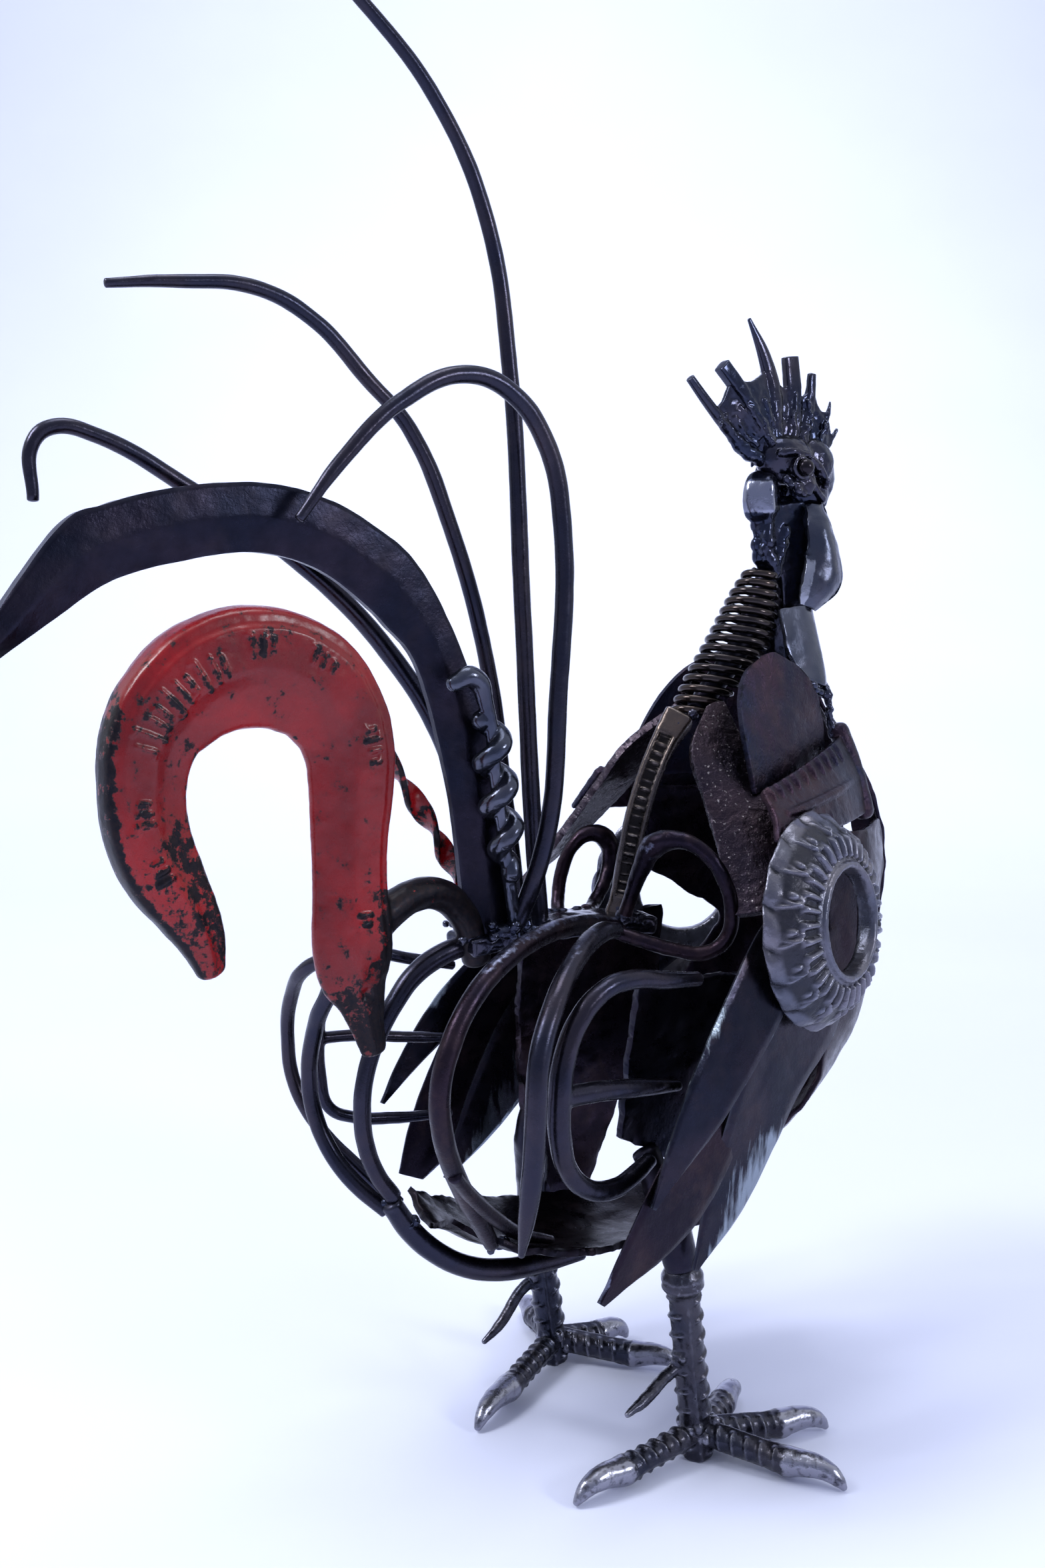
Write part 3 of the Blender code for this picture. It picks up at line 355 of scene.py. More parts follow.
def put(tree, kind, settings=None, **inputs):
    """New shader node; an input is a number, a colour or another node's socket."""
    node = tree.nodes.new("ShaderNode" + kind)
    for key, value in (settings or {}).items():
        setattr(node, key, value)
    for key, value in inputs.items():
        socket = node.inputs[key.replace("_", " ")]
        if isinstance(value, bpy.types.NodeSocket):
            tree.links.new(value, socket)
        else:
            socket.default_value = value
    return node


def ramp(tree, value, low, high, to_low=0.0, to_high=1.0):
    limits = dict(From_Min=low, From_Max=high, To_Min=to_low, To_Max=to_high)
    return put(tree, "MapRange", None, Value=value, **limits).outputs[0]


def calc(tree, operation, a, b=0.5, clamp=False):
    node = tree.nodes.new("ShaderNodeMath")
    node.operation = operation
    node.use_clamp = clamp
    for socket, value in zip(node.inputs, (a, b)):
        if isinstance(value, bpy.types.NodeSocket):
            tree.links.new(value, socket)
        else:
            socket.default_value = value
    return node.outputs[0]


def add(tree, a, b):
    return calc(tree, "ADD", a, b)


def times(tree, a, b):
    return calc(tree, "MULTIPLY", a, b)


def marked(tree, name):
    return put(tree, "Attribute", {"attribute_name": name}).outputs["Fac"]


def blend(tree, share, first, second):
    return put(tree, "MixRGB", None, Fac=share, Color1=first, Color2=second).outputs[0]


def noise(tree, vector, scale, detail=4.0, harsh=0.55):
    node = put(tree, "TexNoise", None, Vector=vector, Scale=scale, Detail=detail, Roughness=harsh)
    return node.outputs[0]


def rgb(r, g, b):
    return (r, g, b, 1.0)


def darker(colour, share):
    return rgb(*(share * value for value in colour[:3]))


def new_look(name):
    """New material with its node tree and its shader."""
    material = bpy.data.materials.new(name + "_look")
    material.use_nodes = True
    return material, material.node_tree, material.node_tree.nodes["Principled BSDF"]


def steel(name, dark, tint, pale, rusty, gloss, rust=(0.085, 0.034, 0.018), relief=0.35, wear=0.6,
        streak=(1, 1, 1), turn=(0, 0, 0), speck=0.0):
    """Dark steel: two tints, rust in patches, pale rubbed crests, painted shade in hollows and where marked,
    grinder streaks and painted highlights where marked, and a fine grain.
    """
    dark, tint, pale, rust = (rgb(*colour) for colour in (dark, tint, pale, rust))
    material, tree, shader = new_look(name)
    place = put(tree, "TexCoord").outputs["Object"]
    along = put(tree, "Mapping", None, Vector=place, Rotation=turn, Scale=streak).outputs[0]
    large = noise(tree, place, 26, 3)
    middle = noise(tree, place, 130, 6, 0.62)
    fine = noise(tree, place, 780, 5, 0.6)
    brushed = noise(tree, along, 240, 5, 0.6)
    colour = blend(tree, ramp(tree, large, 0.40, 0.62), dark, tint)
    colour = blend(tree, ramp(tree, middle, 0.35, 0.75, 0.0, 0.35), colour, darker(dark, 0.55))
    rust_share = times(tree, ramp(tree, noise(tree, place, 55, 8, 0.68), 0.50, 0.66), rusty)
    colour = blend(tree, rust_share, colour, rust)
    pointy = put(tree, "NewGeometry").outputs["Pointiness"]
    # Painted shade: darker in hollows and creases, where pointiness is low.
    colour = blend(tree, ramp(tree, pointy, 0.492, 0.450, 0.0, 0.8), colour, darker(dark, 0.2))
    # Painted shade where marked: sunken panels and fields, the back of the hub rings and the belly plate
    # under the body.
    painted_shade = marked(tree, "painted_shade")
    colour = blend(tree, painted_shade, colour, darker(dark, 0.12))
    crest = ramp(tree, pointy, 0.515, 0.575)
    crest = times(tree, crest, ramp(tree, middle, 0.32, 0.60, 0.25, 1.0))
    crest = times(tree, crest, wear)
    # Pale metal where marked: real grinder streaks and bare spots, and on some bars a painted highlight.
    ground_and_highlight = marked(tree, "ground_and_highlight")
    broken = add(tree, ground_and_highlight, times(tree, calc(tree, "SUBTRACT", brushed, 0.5), 1.5))
    broken = times(tree, ramp(tree, broken, 0.42, 0.68), ramp(tree, ground_and_highlight, 0.02, 0.2))
    bare_and_highlight = calc(tree, "MAXIMUM", crest, broken)
    colour = blend(tree, bare_and_highlight, colour, pale)
    if speck:
        spots = ramp(tree, noise(tree, place, 620, 2, 0.4), 0.66, 0.72)
        colour = blend(tree, times(tree, spots, speck), colour, rgb(0.26, 0.23, 0.24))
    tree.links.new(colour, shader.inputs["Base Color"])
    tree.links.new(ramp(tree, rust_share, 0.0, 1.0, METALLIC, METALLIC * 0.4), shader.inputs["Metallic"])
    dull = add(tree, ramp(tree, middle, 0.3, 0.7, gloss - 0.09, gloss + 0.12), times(tree, rust_share, 0.3))
    dull = calc(tree, "SUBTRACT", dull, times(tree, bare_and_highlight, 0.06), clamp=True)
    tree.links.new(dull, shader.inputs["Roughness"])
    height = add(tree, times(tree, middle, 0.7), times(tree, fine, 0.25))
    height = add(tree, height, times(tree, brushed, times(tree, bare_and_highlight, 0.25)))
    bump = put(tree, "Bump", None, Strength=relief, Distance=0.0012, Height=height).outputs[0]
    tree.links.new(bump, shader.inputs["Normal"])
    return material


def enamel(name):
    """Worn red enamel, chipped through to dark steel."""
    material, tree, shader = new_look(name)
    place = put(tree, "TexCoord").outputs["Object"]
    large = noise(tree, place, 18, 4)
    middle = noise(tree, place, 140, 8, 0.68)
    small = noise(tree, place, 420, 8, 0.7)
    fine = noise(tree, place, 1100, 3)
    red = blend(tree, ramp(tree, large, 0.38, 0.66), rgb(0.28, 0.004, 0.006), rgb(0.13, 0.002, 0.004))
    red = blend(tree, ramp(tree, middle, 0.5, 0.75, 0, 0.6), red, rgb(0.075, 0.003, 0.005))
    # The mark chips the enamel through: real wear, and beside the hook's strokes painted shade.
    wear_and_shade = marked(tree, "wear_and_shade")
    crest = ramp(tree, put(tree, "NewGeometry").outputs["Pointiness"], 0.52, 0.60, 0, 0.2)
    level = add(tree, times(tree, wear_and_shade, 0.42), add(tree, middle, crest))
    level = add(tree, level, times(tree, calc(tree, "SUBTRACT", small, 0.5), 0.45))
    chip = ramp(tree, level, 0.665, 0.70)
    rim = ramp(tree, level, 0.63, 0.67)
    steel_tone = blend(tree, ramp(tree, small, 0.4, 0.65), rgb(0.008, 0.008, 0.013),
        rgb(0.022, 0.014, 0.016))
    colour = blend(tree, rim, red, rgb(0.035, 0.003, 0.004))
    colour = blend(tree, chip, colour, steel_tone)
    tree.links.new(colour, shader.inputs["Base Color"])
    tree.links.new(ramp(tree, chip, 0, 1, 0.0, 0.85), shader.inputs["Metallic"])
    dull = add(tree, ramp(tree, chip, 0, 1, 0.27, 0.42), ramp(tree, small, 0.3, 0.7, -0.05, 0.09))
    tree.links.new(dull, shader.inputs["Roughness"])
    height = calc(tree, "SUBTRACT", times(tree, fine, 0.08), times(tree, chip, 0.35))
    height = add(tree, height, times(tree, middle, 0.5))
    bump = put(tree, "Bump", None, Strength=0.35, Distance=0.0011, Height=height).outputs[0]
    tree.links.new(bump, shader.inputs["Normal"])
    shader.inputs["Specular IOR Level"].default_value = 0.35
    shader.inputs["Coat Weight"].default_value = 0.12
    shader.inputs["Coat Roughness"].default_value = 0.15
    return material


DULL = (0.16, 0.17, 0.25)
BLACK = steel("black_steel", (0.010, 0.011, 0.022), (0.021, 0.017, 0.029), DULL, 0.12, 0.31,
    wear=0.1, rust=(0.030, 0.016, 0.018))
ROD = steel("rod", (0.022, 0.023, 0.040), (0.036, 0.031, 0.044), DULL, 0.15, 0.23,
    relief=0.2, wear=0.12, rust=(0.040, 0.022, 0.022))
BROWN = steel("brown_steel", (0.012, 0.009, 0.018), (0.025, 0.015, 0.023), DULL, 0.35, 0.28,
    wear=0.08, rust=(0.036, 0.013, 0.012))
ROUGH_STEEL = steel("rough_steel", (0.024, 0.018, 0.028), (0.038, 0.026, 0.036),
    (0.26, 0.22, 0.27), 0.2, 0.22, relief=1.0, wear=0.35, speck=1.0, rust=(0.045, 0.020, 0.022))
NAVY = steel("navy_steel", (0.013, 0.015, 0.034), (0.034, 0.018, 0.029), (0.15, 0.16, 0.22),
    0.16, 0.30, relief=0.95, wear=0.1)
BLADE = steel("blade", (0.013, 0.014, 0.026), (0.026, 0.021, 0.033), (0.24, 0.28, 0.33), 0.1,
    0.27, relief=0.2, wear=0.1, streak=(1, 1, 0.12), turn=(0, 0.6, 0))
CAST = steel("cast", (0.100, 0.106, 0.142), (0.160, 0.152, 0.184), (0.32, 0.32, 0.39), 0.2,
    0.28, relief=0.45, wear=0.7, rust=(0.07, 0.045, 0.042))
PALE = steel("pale_steel", (0.055, 0.062, 0.092), (0.105, 0.110, 0.145), (0.30, 0.31, 0.37),
    0.08, 0.22, relief=0.25, wear=0.4)
WELD = steel("weld", (0.024, 0.030, 0.056), (0.048, 0.045, 0.064), (0.24, 0.25, 0.33), 0.10,
    0.13, relief=0.2, wear=0.3, rust=(0.07, 0.032, 0.020))
DRILL = steel("drill", (0.045, 0.052, 0.080), (0.095, 0.100, 0.135), (0.34, 0.35, 0.42), 0.1,
    0.15, relief=0.15, wear=0.4)
BAR = steel("bar_steel", (0.030, 0.033, 0.052), (0.056, 0.054, 0.070), (0.27, 0.27, 0.33),
    0.12, 0.24, wear=0.9, rust=(0.06, 0.036, 0.030))
BRONZE = steel("spring", (0.026, 0.022, 0.025), (0.052, 0.038, 0.034), (0.24, 0.20, 0.18),
    0.15, 0.16, relief=0.05, wear=0.1, rust=(0.04, 0.02, 0.016))
HANDLE = steel("handle", (0.075, 0.064, 0.068), (0.120, 0.092, 0.080), (0.36, 0.31, 0.28),
    0.25, 0.22, rust=(0.07, 0.036, 0.025))
EYE = steel("eye", (0.014, 0.013, 0.020), (0.024, 0.020, 0.026), DULL, 0.0, 0.14,
    relief=0.03, wear=0.0)
RED = enamel("red_enamel")

DENSE, VERY_DENSE = 8000, 200000  # triangles from which a mesh is thinned out
KEPT, KEPT_OF_MANY = 0.44, 0.34  # share of the triangles that stays


def lighten(piece):
    """Thin out a dense mesh where it is smooth, so that all pieces stay under a million triangles."""
    piece.data.calc_loop_triangles()
    count = len(piece.data.loop_triangles)
    if count > DENSE:
        fewer = piece.modifiers.new("fewer", "DECIMATE")
        fewer.ratio = KEPT if count < VERY_DENSE else KEPT_OF_MANY
        worked_in(piece)


def dress(piece, look, *nodes, sharp=40, slot=None):
    """Give a finished piece its material and its place in the frame."""
    lighten(piece)
    piece.data.materials.clear()
    piece.data.materials.append(look)
    piece.data.shade_smooth()
    if sharp:
        piece.data.set_sharp_from_angle(angle=math.radians(sharp))
    for name in ("run", "cross"):
        layer = piece.data.attributes.get(name)
        if layer:
            piece.data.attributes.remove(layer)
    if nodes:
        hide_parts(*nodes)
    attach(piece, "root")


def rod(node, path, across, look=ROD, ground_and_highlight=None):
    """Bar that replaces a node of the same name."""
    piece = solid(node + "_form", sweep(path, across, 18))
    finish(piece, look, [(0.12, 9, 2, len(node))], node, ground_and_highlight, 40)


def finish(piece, look, grain, node, ground_and_highlight=None, sharp=0, slot=None):
    """Roughen a piece by each (amount, size, octaves, seed), mark its pale bare spots and painted
    highlights, and dress it.
    """
    for step in grain:
        roughen(piece, *step)
    if ground_and_highlight:
        mark(piece, "ground_and_highlight", ground_and_highlight(points_of(piece), normals_of(piece)))
    dress(piece, look, node, sharp=sharp, slot=slot)


def cast(node, forms, voxel, relax, look, *grain, ground_and_highlight=None):
    """Piece of run-together forms that replaces a node."""
    finish(melt(node + "_form", forms, voxel, relax), look, grain, node, ground_and_highlight)


def sheet(node, lines, thick, stations, cells, edge, look, *grain, marked_all=None, slot=None, **shape):
    """Plate that replaces a node. marked_all gives a mark and its value for every point."""
    piece = plate(node + "_form", lines, thick, stations, cells, edge, **shape)
    if marked_all:
        mark(piece, marked_all[0], np.full(len(piece.data.vertices), marked_all[1]))
    finish(piece, look, grain, node, sharp=40, slot=slot)


def pair(piece, node, look, sharp=40, **moved):
    """Dress a piece of the right side, and make its partner on the left."""
    left = other_side(piece, node + "_left_form", **moved)
    dress(piece, look, node + "_right", sharp=sharp)
    dress(left, look, node + "_left", sharp=sharp)


# Tail


def tail_rods():
    tall = [(-46, 3, 246), (-50, 4, 300), (-55, 5, 400, 0.95), (-62, 5, 507, 0.88), (-73, 5, 566, 0.82),
        (-97, 5, 612, 0.75), (-134, 5, 648, 0.66), (-172, 5, 673, 0.58), (-212, 5, 688, 0.46)]
    rod("tail_rod_tall", tall, 8.5)
    bent = [(-53, 9, 246), (-58, 16, 310), (-64, 20, 366), (-85, 20, 435), (-106, 20, 477, 0.95),
        (-126, 20, 496, 0.9), (-150, 20, 518, 0.9), (-176, 20, 529, 0.85), (-212, 20, 528, 0.72),
        (-241, 20, 524, 0.5)]
    rod("tail_rod_bent", bent, 7.5)
    arched = [(-74, -12, 244), (-66, -18, 266), (-58, -23, 300), (-55, -25, 350), (-53, -25, 436),
        (-61, -25, 467), (-79, -25, 488, 0.98), (-102, -25, 494, 0.92), (-132, -25, 481, 0.84),
        (-160, -25, 455, 0.72), (-179, -25, 431, 0.5)]
    rod("tail_rod_arched", arched, 8.5)
    low = [(-72, 11, 246), (-76, 20, 296), (-88, 25, 338), (-114, 25, 376), (-152, 25, 412, 0.92),
        (-206, 25, 445, 0.8), (-246, 25, 465, 0.72), (-262, 25, 467, 0.7), (-270, 25, 461, 0.68),
        (-271, 25, 438, 0.52)]
    rod("tail_rod_low", low, 9.0)


def sickle_bar():
    outer = [(-71, 250), (-74, 297), (-80, 331), (-94, 374), (-115, 412), (-137, 430), (-160, 441),
        (-187, 446), (-222, 443), (-252, 435), (-272, 424), (-309, 372)]
    inner = [(-92, 247), (-97, 292), (-103, 326), (-116, 370), (-131, 388), (-147, 402), (-166, 413),
        (-190, 418), (-217, 415), (-241, 409), (-258, 401), (-296, 374)]
    lines = [[(x, -5, z) for x, z in edge] for edge in (outer, inner)]
    def thin(run, cross):
        return np.interp(cross, [0, 0.06, 0.42, 0.50, 1], [0.75, 0.92, 1.0, 1.0, 0.30])
    sheet("sickle_bar", lines, 11.6, 170, 36, 0, BLACK, (0.30, 16, 3, 4), (0.10, 4, 3, 5), thin=thin)


def auger():
    foot = np.array([-71.0, -15, 250])
    top = np.array([-90.0, -22, 352])
    way = unit_rows(top - foot)
    side = unit_rows(np.cross(way, (0, 1, 0)))
    across = np.cross(way, side)
    shaft = sweep([(-70, -14.7, 246), (-77.5, -17.4, 285), (-84.4, -19.9, 322), (-90, -22, 352, 1.1),
        (-98, -23, 366, 1.6), (-108, -23, 363, 1.2)], 6.2, 16, 1.2, cap=0.7)
    helix = []
    count = 72
    for i in range(count + 1):
        share = i / count
        turn = math.tau * 3.6 * share + 2.0
        taper = min(1, 2.5 * share + 0.25, 2.5 * (1 - share) + 0.55)
        middle = foot + (top - foot) * (0.26 + 0.70 * share)
        helix.append((*(middle + (side * math.cos(turn) + across * math.sin(turn)) * 5.4 * taper), 1))
    flight = sweep(helix, 9.2, 16, 1.0, cap=0.8)
    cast("auger", [shaft, flight], 0.6, 4, DRILL, (0.18, 5, 3, 6))


def twisted_strip():
    line = smooth([(-82, 9, 256), (-90, 9, 276), (-97, 9, 290), (-107, 9, 306), (-119, 9, 323),
        (-133, 9, 342)], 25)
    edges = [[], []]
    for i, point in enumerate(line):
        turn = math.radians(-30 + 610 * i / (len(line) - 1))
        swing = at(math.cos(turn) * 0.75, math.sin(turn), math.cos(turn) * 0.66) * 5.0
        edges[0].append(point - swing)
        edges[1].append(point + swing)
    sheet("twisted_strip", edges, 3.0, 90, 8, 0.25, RED, (0.15, 6, 2, 5), marked_all=("wear_and_shade", 0.3))


def crane_hook():
    """Hook with a flat face, sloped towards the throat, rows of shallow strokes, and a bent arm."""
    bow = [(-146, 207, 0.25), (-149, 218, 0.33), (-152, 230, 0.46), (-155, 240, 0.64), (-156, 254, 0.74),
        (-157, 276, 0.70), (-157, 298, 0.70), (-156, 322, 0.77), (-157, 338, 0.82), (-163, 353, 0.90),
        (-178, 367, 1.0), (-200, 372, 1.02), (-217, 368, 1.0), (-231, 358, 0.92), (-240, 346, 0.83),
        (-244, 325, 0.73), (-242, 305, 0.71), (-236, 290, 0.66), (-228, 276, 0.54), (-222, 264, 0.42),
        (-218, 250, 0.26)]
    wide, thick, y = 48, 27, -20
    path = [(x, y, z, size) for x, z, size in bow]
    section = ([-1, -0.97, -0.90, -0.35, -0.16, -0.06, 0.66, 0.70, 0.78, 0.90, 0.97, 1.0],
        [0, 0.22, 0.32, 0.66, 0.88, 1.0, 1.0, 0.86, 0.84, 0.80, 0.5, 0])
    body = sweep(path, wide, 72, 1.2, flat=thick / wide, side=(0, 1, 0), cap=0.5, section=section)
    arm = sweep([(-156, -20, 250, 1.25), (-146, -19, 260, 1.2), (-137, -18, 266, 1.1), (-124, -15, 271),
        (-109, -11, 270, 0.98), (-96, -7, 261, 0.95), (-88, -4, 249, 0.92), (-84, -2, 236, 0.9)],
        15.0, 20, 1.6)
    spine = bend(path, 1.0)
    ticks, cores = [], []  # strokes in place of the lettering
    for start, count, gap, half, offset in ((206, 10, 4.7, 5.4, 4.0), (187, 3, 4.2, 3.4, 9.0),
            (164, 3, 4.0, 2.8, 9.0), (126, 4, 4.0, 2.6, 7.5), (268, 3, 4.2, 2.8, 3.0),
            (291, 3, 4.0, 2.6, 2.5), (58, 2, 4.0, 2.6, 3.0)):
        for k in range(count):
            i = min(int(start + k * gap), len(spine) - 2)
            x, _, z, size = spine[i]
            ahead = unit_rows(spine[i + 1][:3] - spine[i - 1][:3])
            out = at(ahead[2], 0, -ahead[0])
            reach = half * (0.75 + 0.25 * ((k * 7) % 3))
            middle = at(x, y - 13.1 * size, z) + out * offset
            ticks.append(sweep([(*(middle - out * reach), 0.9), (*middle, 1.0),
                (*(middle + out * reach), 0.9)], 2.7, 10, 0.8, cap=0.9))
            cores += [middle + out * reach * share for share in np.linspace(-1, 1, 9)]
            if k % 3 != 1:
                low = middle - out * reach * (1 if k % 2 else -1)
                ticks.append(sweep([(*low, 0.9), (*(low + ahead * 1.4), 1), (*(low + ahead * 2.6), 0.9)],
                    2.2, 10, 0.8, cap=0.9))
    piece = melt("crane_hook_form", [body, arm], 0.9, 4)
    strokes = melt("strokes", ticks, 0.5, 1)
    forms = [form_of(piece), form_of(strokes)]
    piece = melt("crane_hook_form", forms, 0.62, 1)
    p = points_of(piece)
    dimple = np.linalg.norm((p - at(-152, -30, 233)) * (1, 0.4, 1), axis=1)
    p[:, 1] += 2.6 * np.exp(-(dimple / 2.6) ** 2) * (p[:, 1] < y)
    move_points(piece, p)
    roughen(piece, 0.35, 22, 3, 2)
    roughen(piece, 0.10, 3.5, 2, 8)
    p = points_of(piece)
    on_arm = rise(p[:, 0], -148, 8) * fall(p[:, 2], 288, 8)
    low = fall(p[:, 2], 250, 20)
    by_stroke = nearest(cores, p)[1]
    near = nearest(spine[:, :3] * (1, 0, 1), p * (1, 0, 1))[0]
    ahead = unit_rows(np.gradient(spine[:, :3], axis=0))[near]
    aside = ((p - spine[near, :3]) * np.column_stack([ahead[:, 2], 0 * near, -ahead[:, 0]])).sum(1)
    aside /= wide / 2 * spine[near, 3]
    rim = rise(aside, 0.70, 0.15)
    # The stroke term chips the paint on and just around the strokes: partly real wear on the raised strokes,
    # partly painted shade at their feet.
    wear_and_shade = 0.04 + 0.52 * on_arm + 0.50 * low + 0.36 * np.clip(2.2 - by_stroke, 0, 1)
    wear_and_shade += 0.60 * rim * rise(near, 228, 20) + 0.22 * rise(near, 262, 40)
    wear_and_shade += 0.22 * np.clip(-aside * 2 - 0.2, 0, 1) * rise(near, 222, 20)
    wear_and_shade += 0.30 * rise(aside, 0.1, 0.5) * fall(near, 90, 30)
    mark(piece, "wear_and_shade", wear_and_shade)
    dress(piece, RED, "crane_hook", sharp=0)


# Rump cage


def painted_crown_highlight(low_z, strength):
    """Mark of a painted highlight along the upper side of a bar above a level."""
    def values(p, n):
        return strength * rise(p[:, 2], low_z, 6) * np.clip(n[:, 2] * 2 - 0.6, 0, 1)
    return values


def cage():
    keel = [(-128, 0, 128, 0.95), (-118, 0, 113), (-105, -2, 100), (-90, -4, 91), (-72, -5, 86),
        (-50, -2, 83, 0.95), (-24, 0, 82, 0.75)]
    rod("keel_bar", keel, 10.5)
    centre = [(-88, 0, 243, 1.2), (-100, 0, 240, 1.25), (-114, 0, 233, 1.2), (-125, 0, 221, 1.1),
        (-134, 0, 206), (-140, 0, 190), (-142, 0, 172), (-140, 0, 156), (-135, 0, 143), (-127, 0, 131)]
    rod("centre_tine", centre, 8.0)
    inner = [(-149, -2, 238), (-154, 12, 222), (-154, 24, 205), (-154, 30, 184), (-152, 29, 166),
        (-147, 23, 149), (-139, 13, 135), (-129, 3, 124, 0.9)]
    rod("hoop_inner", inner, 7.8)
    outer = [(-150, 6, 244), (-158, 22, 236), (-157, 42, 219), (-154, 54, 196), (-151, 54, 174),
        (-144, 44, 155), (-132, 26, 138), (-120, 8, 124, 0.9)]
    rod("hoop_outer", outer, 6.6)
    big = [(-12, -14, 246, 0.8), (-32, -20, 250), (-58, -34, 253), (-80, -45, 252), (-101, -55, 247),
        (-120, -62, 236), (-134, -67, 219), (-140, -68, 200), (-138, -66, 183), (-131, -60, 167),
        (-120, -50, 150), (-107, -40, 132), (-93, -30, 112, 0.8)]
    # The big hoop gets a painted highlight along its upper side.
    rod("hoop_big", big, 9.0, BROWN, ground_and_highlight=painted_crown_highlight(240, 0.6))
    hay = [(-34, -42, 251, 0.8), (-50, -52, 253), (-76, -70, 246), (-96, -84, 231), (-106, -90, 214),
        (-109, -92, 194), (-109, -90, 170), (-108, -84, 147, 0.85), (-106, -76, 126, 0.3)]
    # The hay tine gets a fainter painted highlight along its upper side.
    rod("hay_tine", hay, 9.2, ground_and_highlight=painted_crown_highlight(244, 0.35))
    belly = [(-129, -60, 160, 0.9), (-112, -48, 142), (-92, -36, 124), (-76, -27, 112, 0.9),
        (-56, -22, 103, 0.6)]
    rod("belly_tine", belly, 7.0, BROWN)


def forks():
    bow = [(-12, -74, 232, 0.75), (-34, -78, 235, 0.9), (-54, -80, 238), (-70, -82, 235),
        (-82, -83, 225, 1.05), (-90, -84, 210, 1.1), (-93, -85, 194, 1.15), (-92, -84, 176, 1.1),
        (-86, -82, 160), (-75, -80, 150), (-60, -77, 146), (-46, -73, 148, 0.95), (-34, -69, 152, 0.8)]
    middle = [(-92, -84.5, 194, 1.1), (-74, -83, 193), (-50, -80, 190, 0.95), (-24, -76, 186, 0.6)]
    cast("fork_right", [sweep(bow, 9.0), sweep(middle, 9.0)], 0.8, 4, ROD, (0.15, 9, 2, 3))
    bow = [(-56, 70, 216, 0.8), (-80, 71, 222), (-102, 73, 226), (-117, 75, 219), (-126, 76, 204, 1.1),
        (-129, 76, 187, 1.2), (-128, 76, 168, 1.1), (-124, 75, 152), (-112, 74, 145), (-90, 73, 141),
        (-58, 70, 139, 0.8)]
    middle = [(-129, 76, 187), (-110, 75, 186), (-84, 73, 182, 0.95), (-54, 70, 178, 0.8)]
    cast("fork_left", [sweep(bow, 6.2), sweep(middle, 6.2)], 0.8, 3, ROD, (0.12, 8, 2, 4))


# Body


def back_plate():
    ridge = [(-92, 0, 244), (-60, 0, 247), (-20, 0, 247), (12, 0, 244)]
    edges = [[(x, side * 13, z - 1) for x, _, z in ridge] for side in (-1, 1)]
    slab = form_of(plate("slab", [edges[0], ridge, edges[1]], 9.0, 40, 12, 0.2))
    beads = []
    for side in (-1, 1):
        beads += drips([(-90, side * 11, 243), (-55, side * 12, 248), (-20, side * 12, 248),
            (8, side * 11, 245)], 3.2, 0.8)
    cast("back_plate", [slab, *beads], 0.8, 6, WELD, (0.3, 7, 3, 12))


def belly_plate():
    middle = [(-108, 0, 116), (-84, 0, 103), (-52, 0, 95), (-10, 0, 91), (58, 0, 90)]
    widths = (22, 36, 40, 36, 24)
    edges = [[(x, side * wide, z + 7) for (x, _, z), wide in zip(middle, widths)] for side in (-1, 1)]
    # The whole belly plate is darkened as painted shade under the body.
    sheet("belly_plate", [edges[0], middle, edges[1]], 3.2, 120, 50, 0.25, BROWN, (0.5, 12, 4, 9),
        ragged=1.4, marked_all=("painted_shade", 0.6))


def breast():
    front = [(118, 356), (127, 343), (141, 327), (155, 308), (165, 288), (169, 268), (167, 246), (161, 218),
        (150, 191), (136, 168), (119, 149), (99, 131), (78, 113), (60, 98)]
    lines = [[(x - 5, -11, z - 1) for x, z in front], [(x, 0, z) for x, z in front],
        [(x - 5, 11, z - 1) for x, z in front]]
    sheet("breast_strip", lines, 2.5, 150, 14, 0.3, BROWN, (0.3, 10, 3, 2), ragged=0.8)
    front = [(156, -14, 286), (159, -14, 262), (153, -14, 222), (142, -14, 192), (128, -14, 168),
        (110, -14, 148), (90, -14, 131)]
    middle = [(124, -36, 286), (125, -39, 262), (122, -41, 222), (114, -44, 192), (100, -41, 168),
        (84, -37, 148), (66, -32, 131)]
    rear = [(86, -46, 284), (87, -48, 258), (84, -53, 218), (78, -61, 192), (66, -65, 168), (54, -57, 149),
        (43, -44, 132)]
    sheet("breast_plate_right", [front, middle, rear], 2.5, 100, 40, 0.3, BROWN, (0.4, 14, 3, 7),
        ragged=1.0)
    front = [(154, 14, 292), (158, 14, 278), (159, 14, 268), (159, 14, 258), (156, 14, 238), (152, 14, 220),
        (142, 14, 192), (128, 14, 168), (110, 14, 148), (90, 14, 131)]
    middle = [(98, 34, 303), (102, 36, 276), (110, 37, 264), (116, 38, 253), (124, 39, 234), (121, 41, 218),
        (114, 44, 192), (100, 41, 168), (84, 37, 148), (66, 32, 131)]
    rear = [(34, 42, 304), (33, 44, 276), (46, 45, 262), (66, 46, 252), (98, 47, 231), (92, 52, 215),
        (80, 60, 192), (66, 65, 168), (54, 57, 149), (43, 44, 132)]
    sheet("breast_plate_left", [rear, middle, front], 2.5, 120, 44, 0.3, BROWN, (0.4, 14, 3, 8), ragged=1.0)
    front = [(62, -52, 226), (58, -50, 178), (36, -46, 116)]
    rear = [(-28, -50, 226), (-31, -47, 190), (-34, -45, 156)]
    sheet("hip_plate_right", [front, rear], 4.0, 70, 60, 0.25, BLACK, (0.4, 10, 4, 8), ragged=1.2)
    front = [(62, 52, 239), (54, 50, 178), (33, 48, 143), (10, 47, 94)]
    rear = [(-28, 50, 232), (-31, 47, 190), (-30, 46, 150), (-14, 46, 92)]
    sheet("hip_plate_left", [rear, front], 4.0, 90, 60, 0.25, BROWN, (0.4, 10, 4, 9), ragged=1.2,
        slot="black_steel")


# Sides


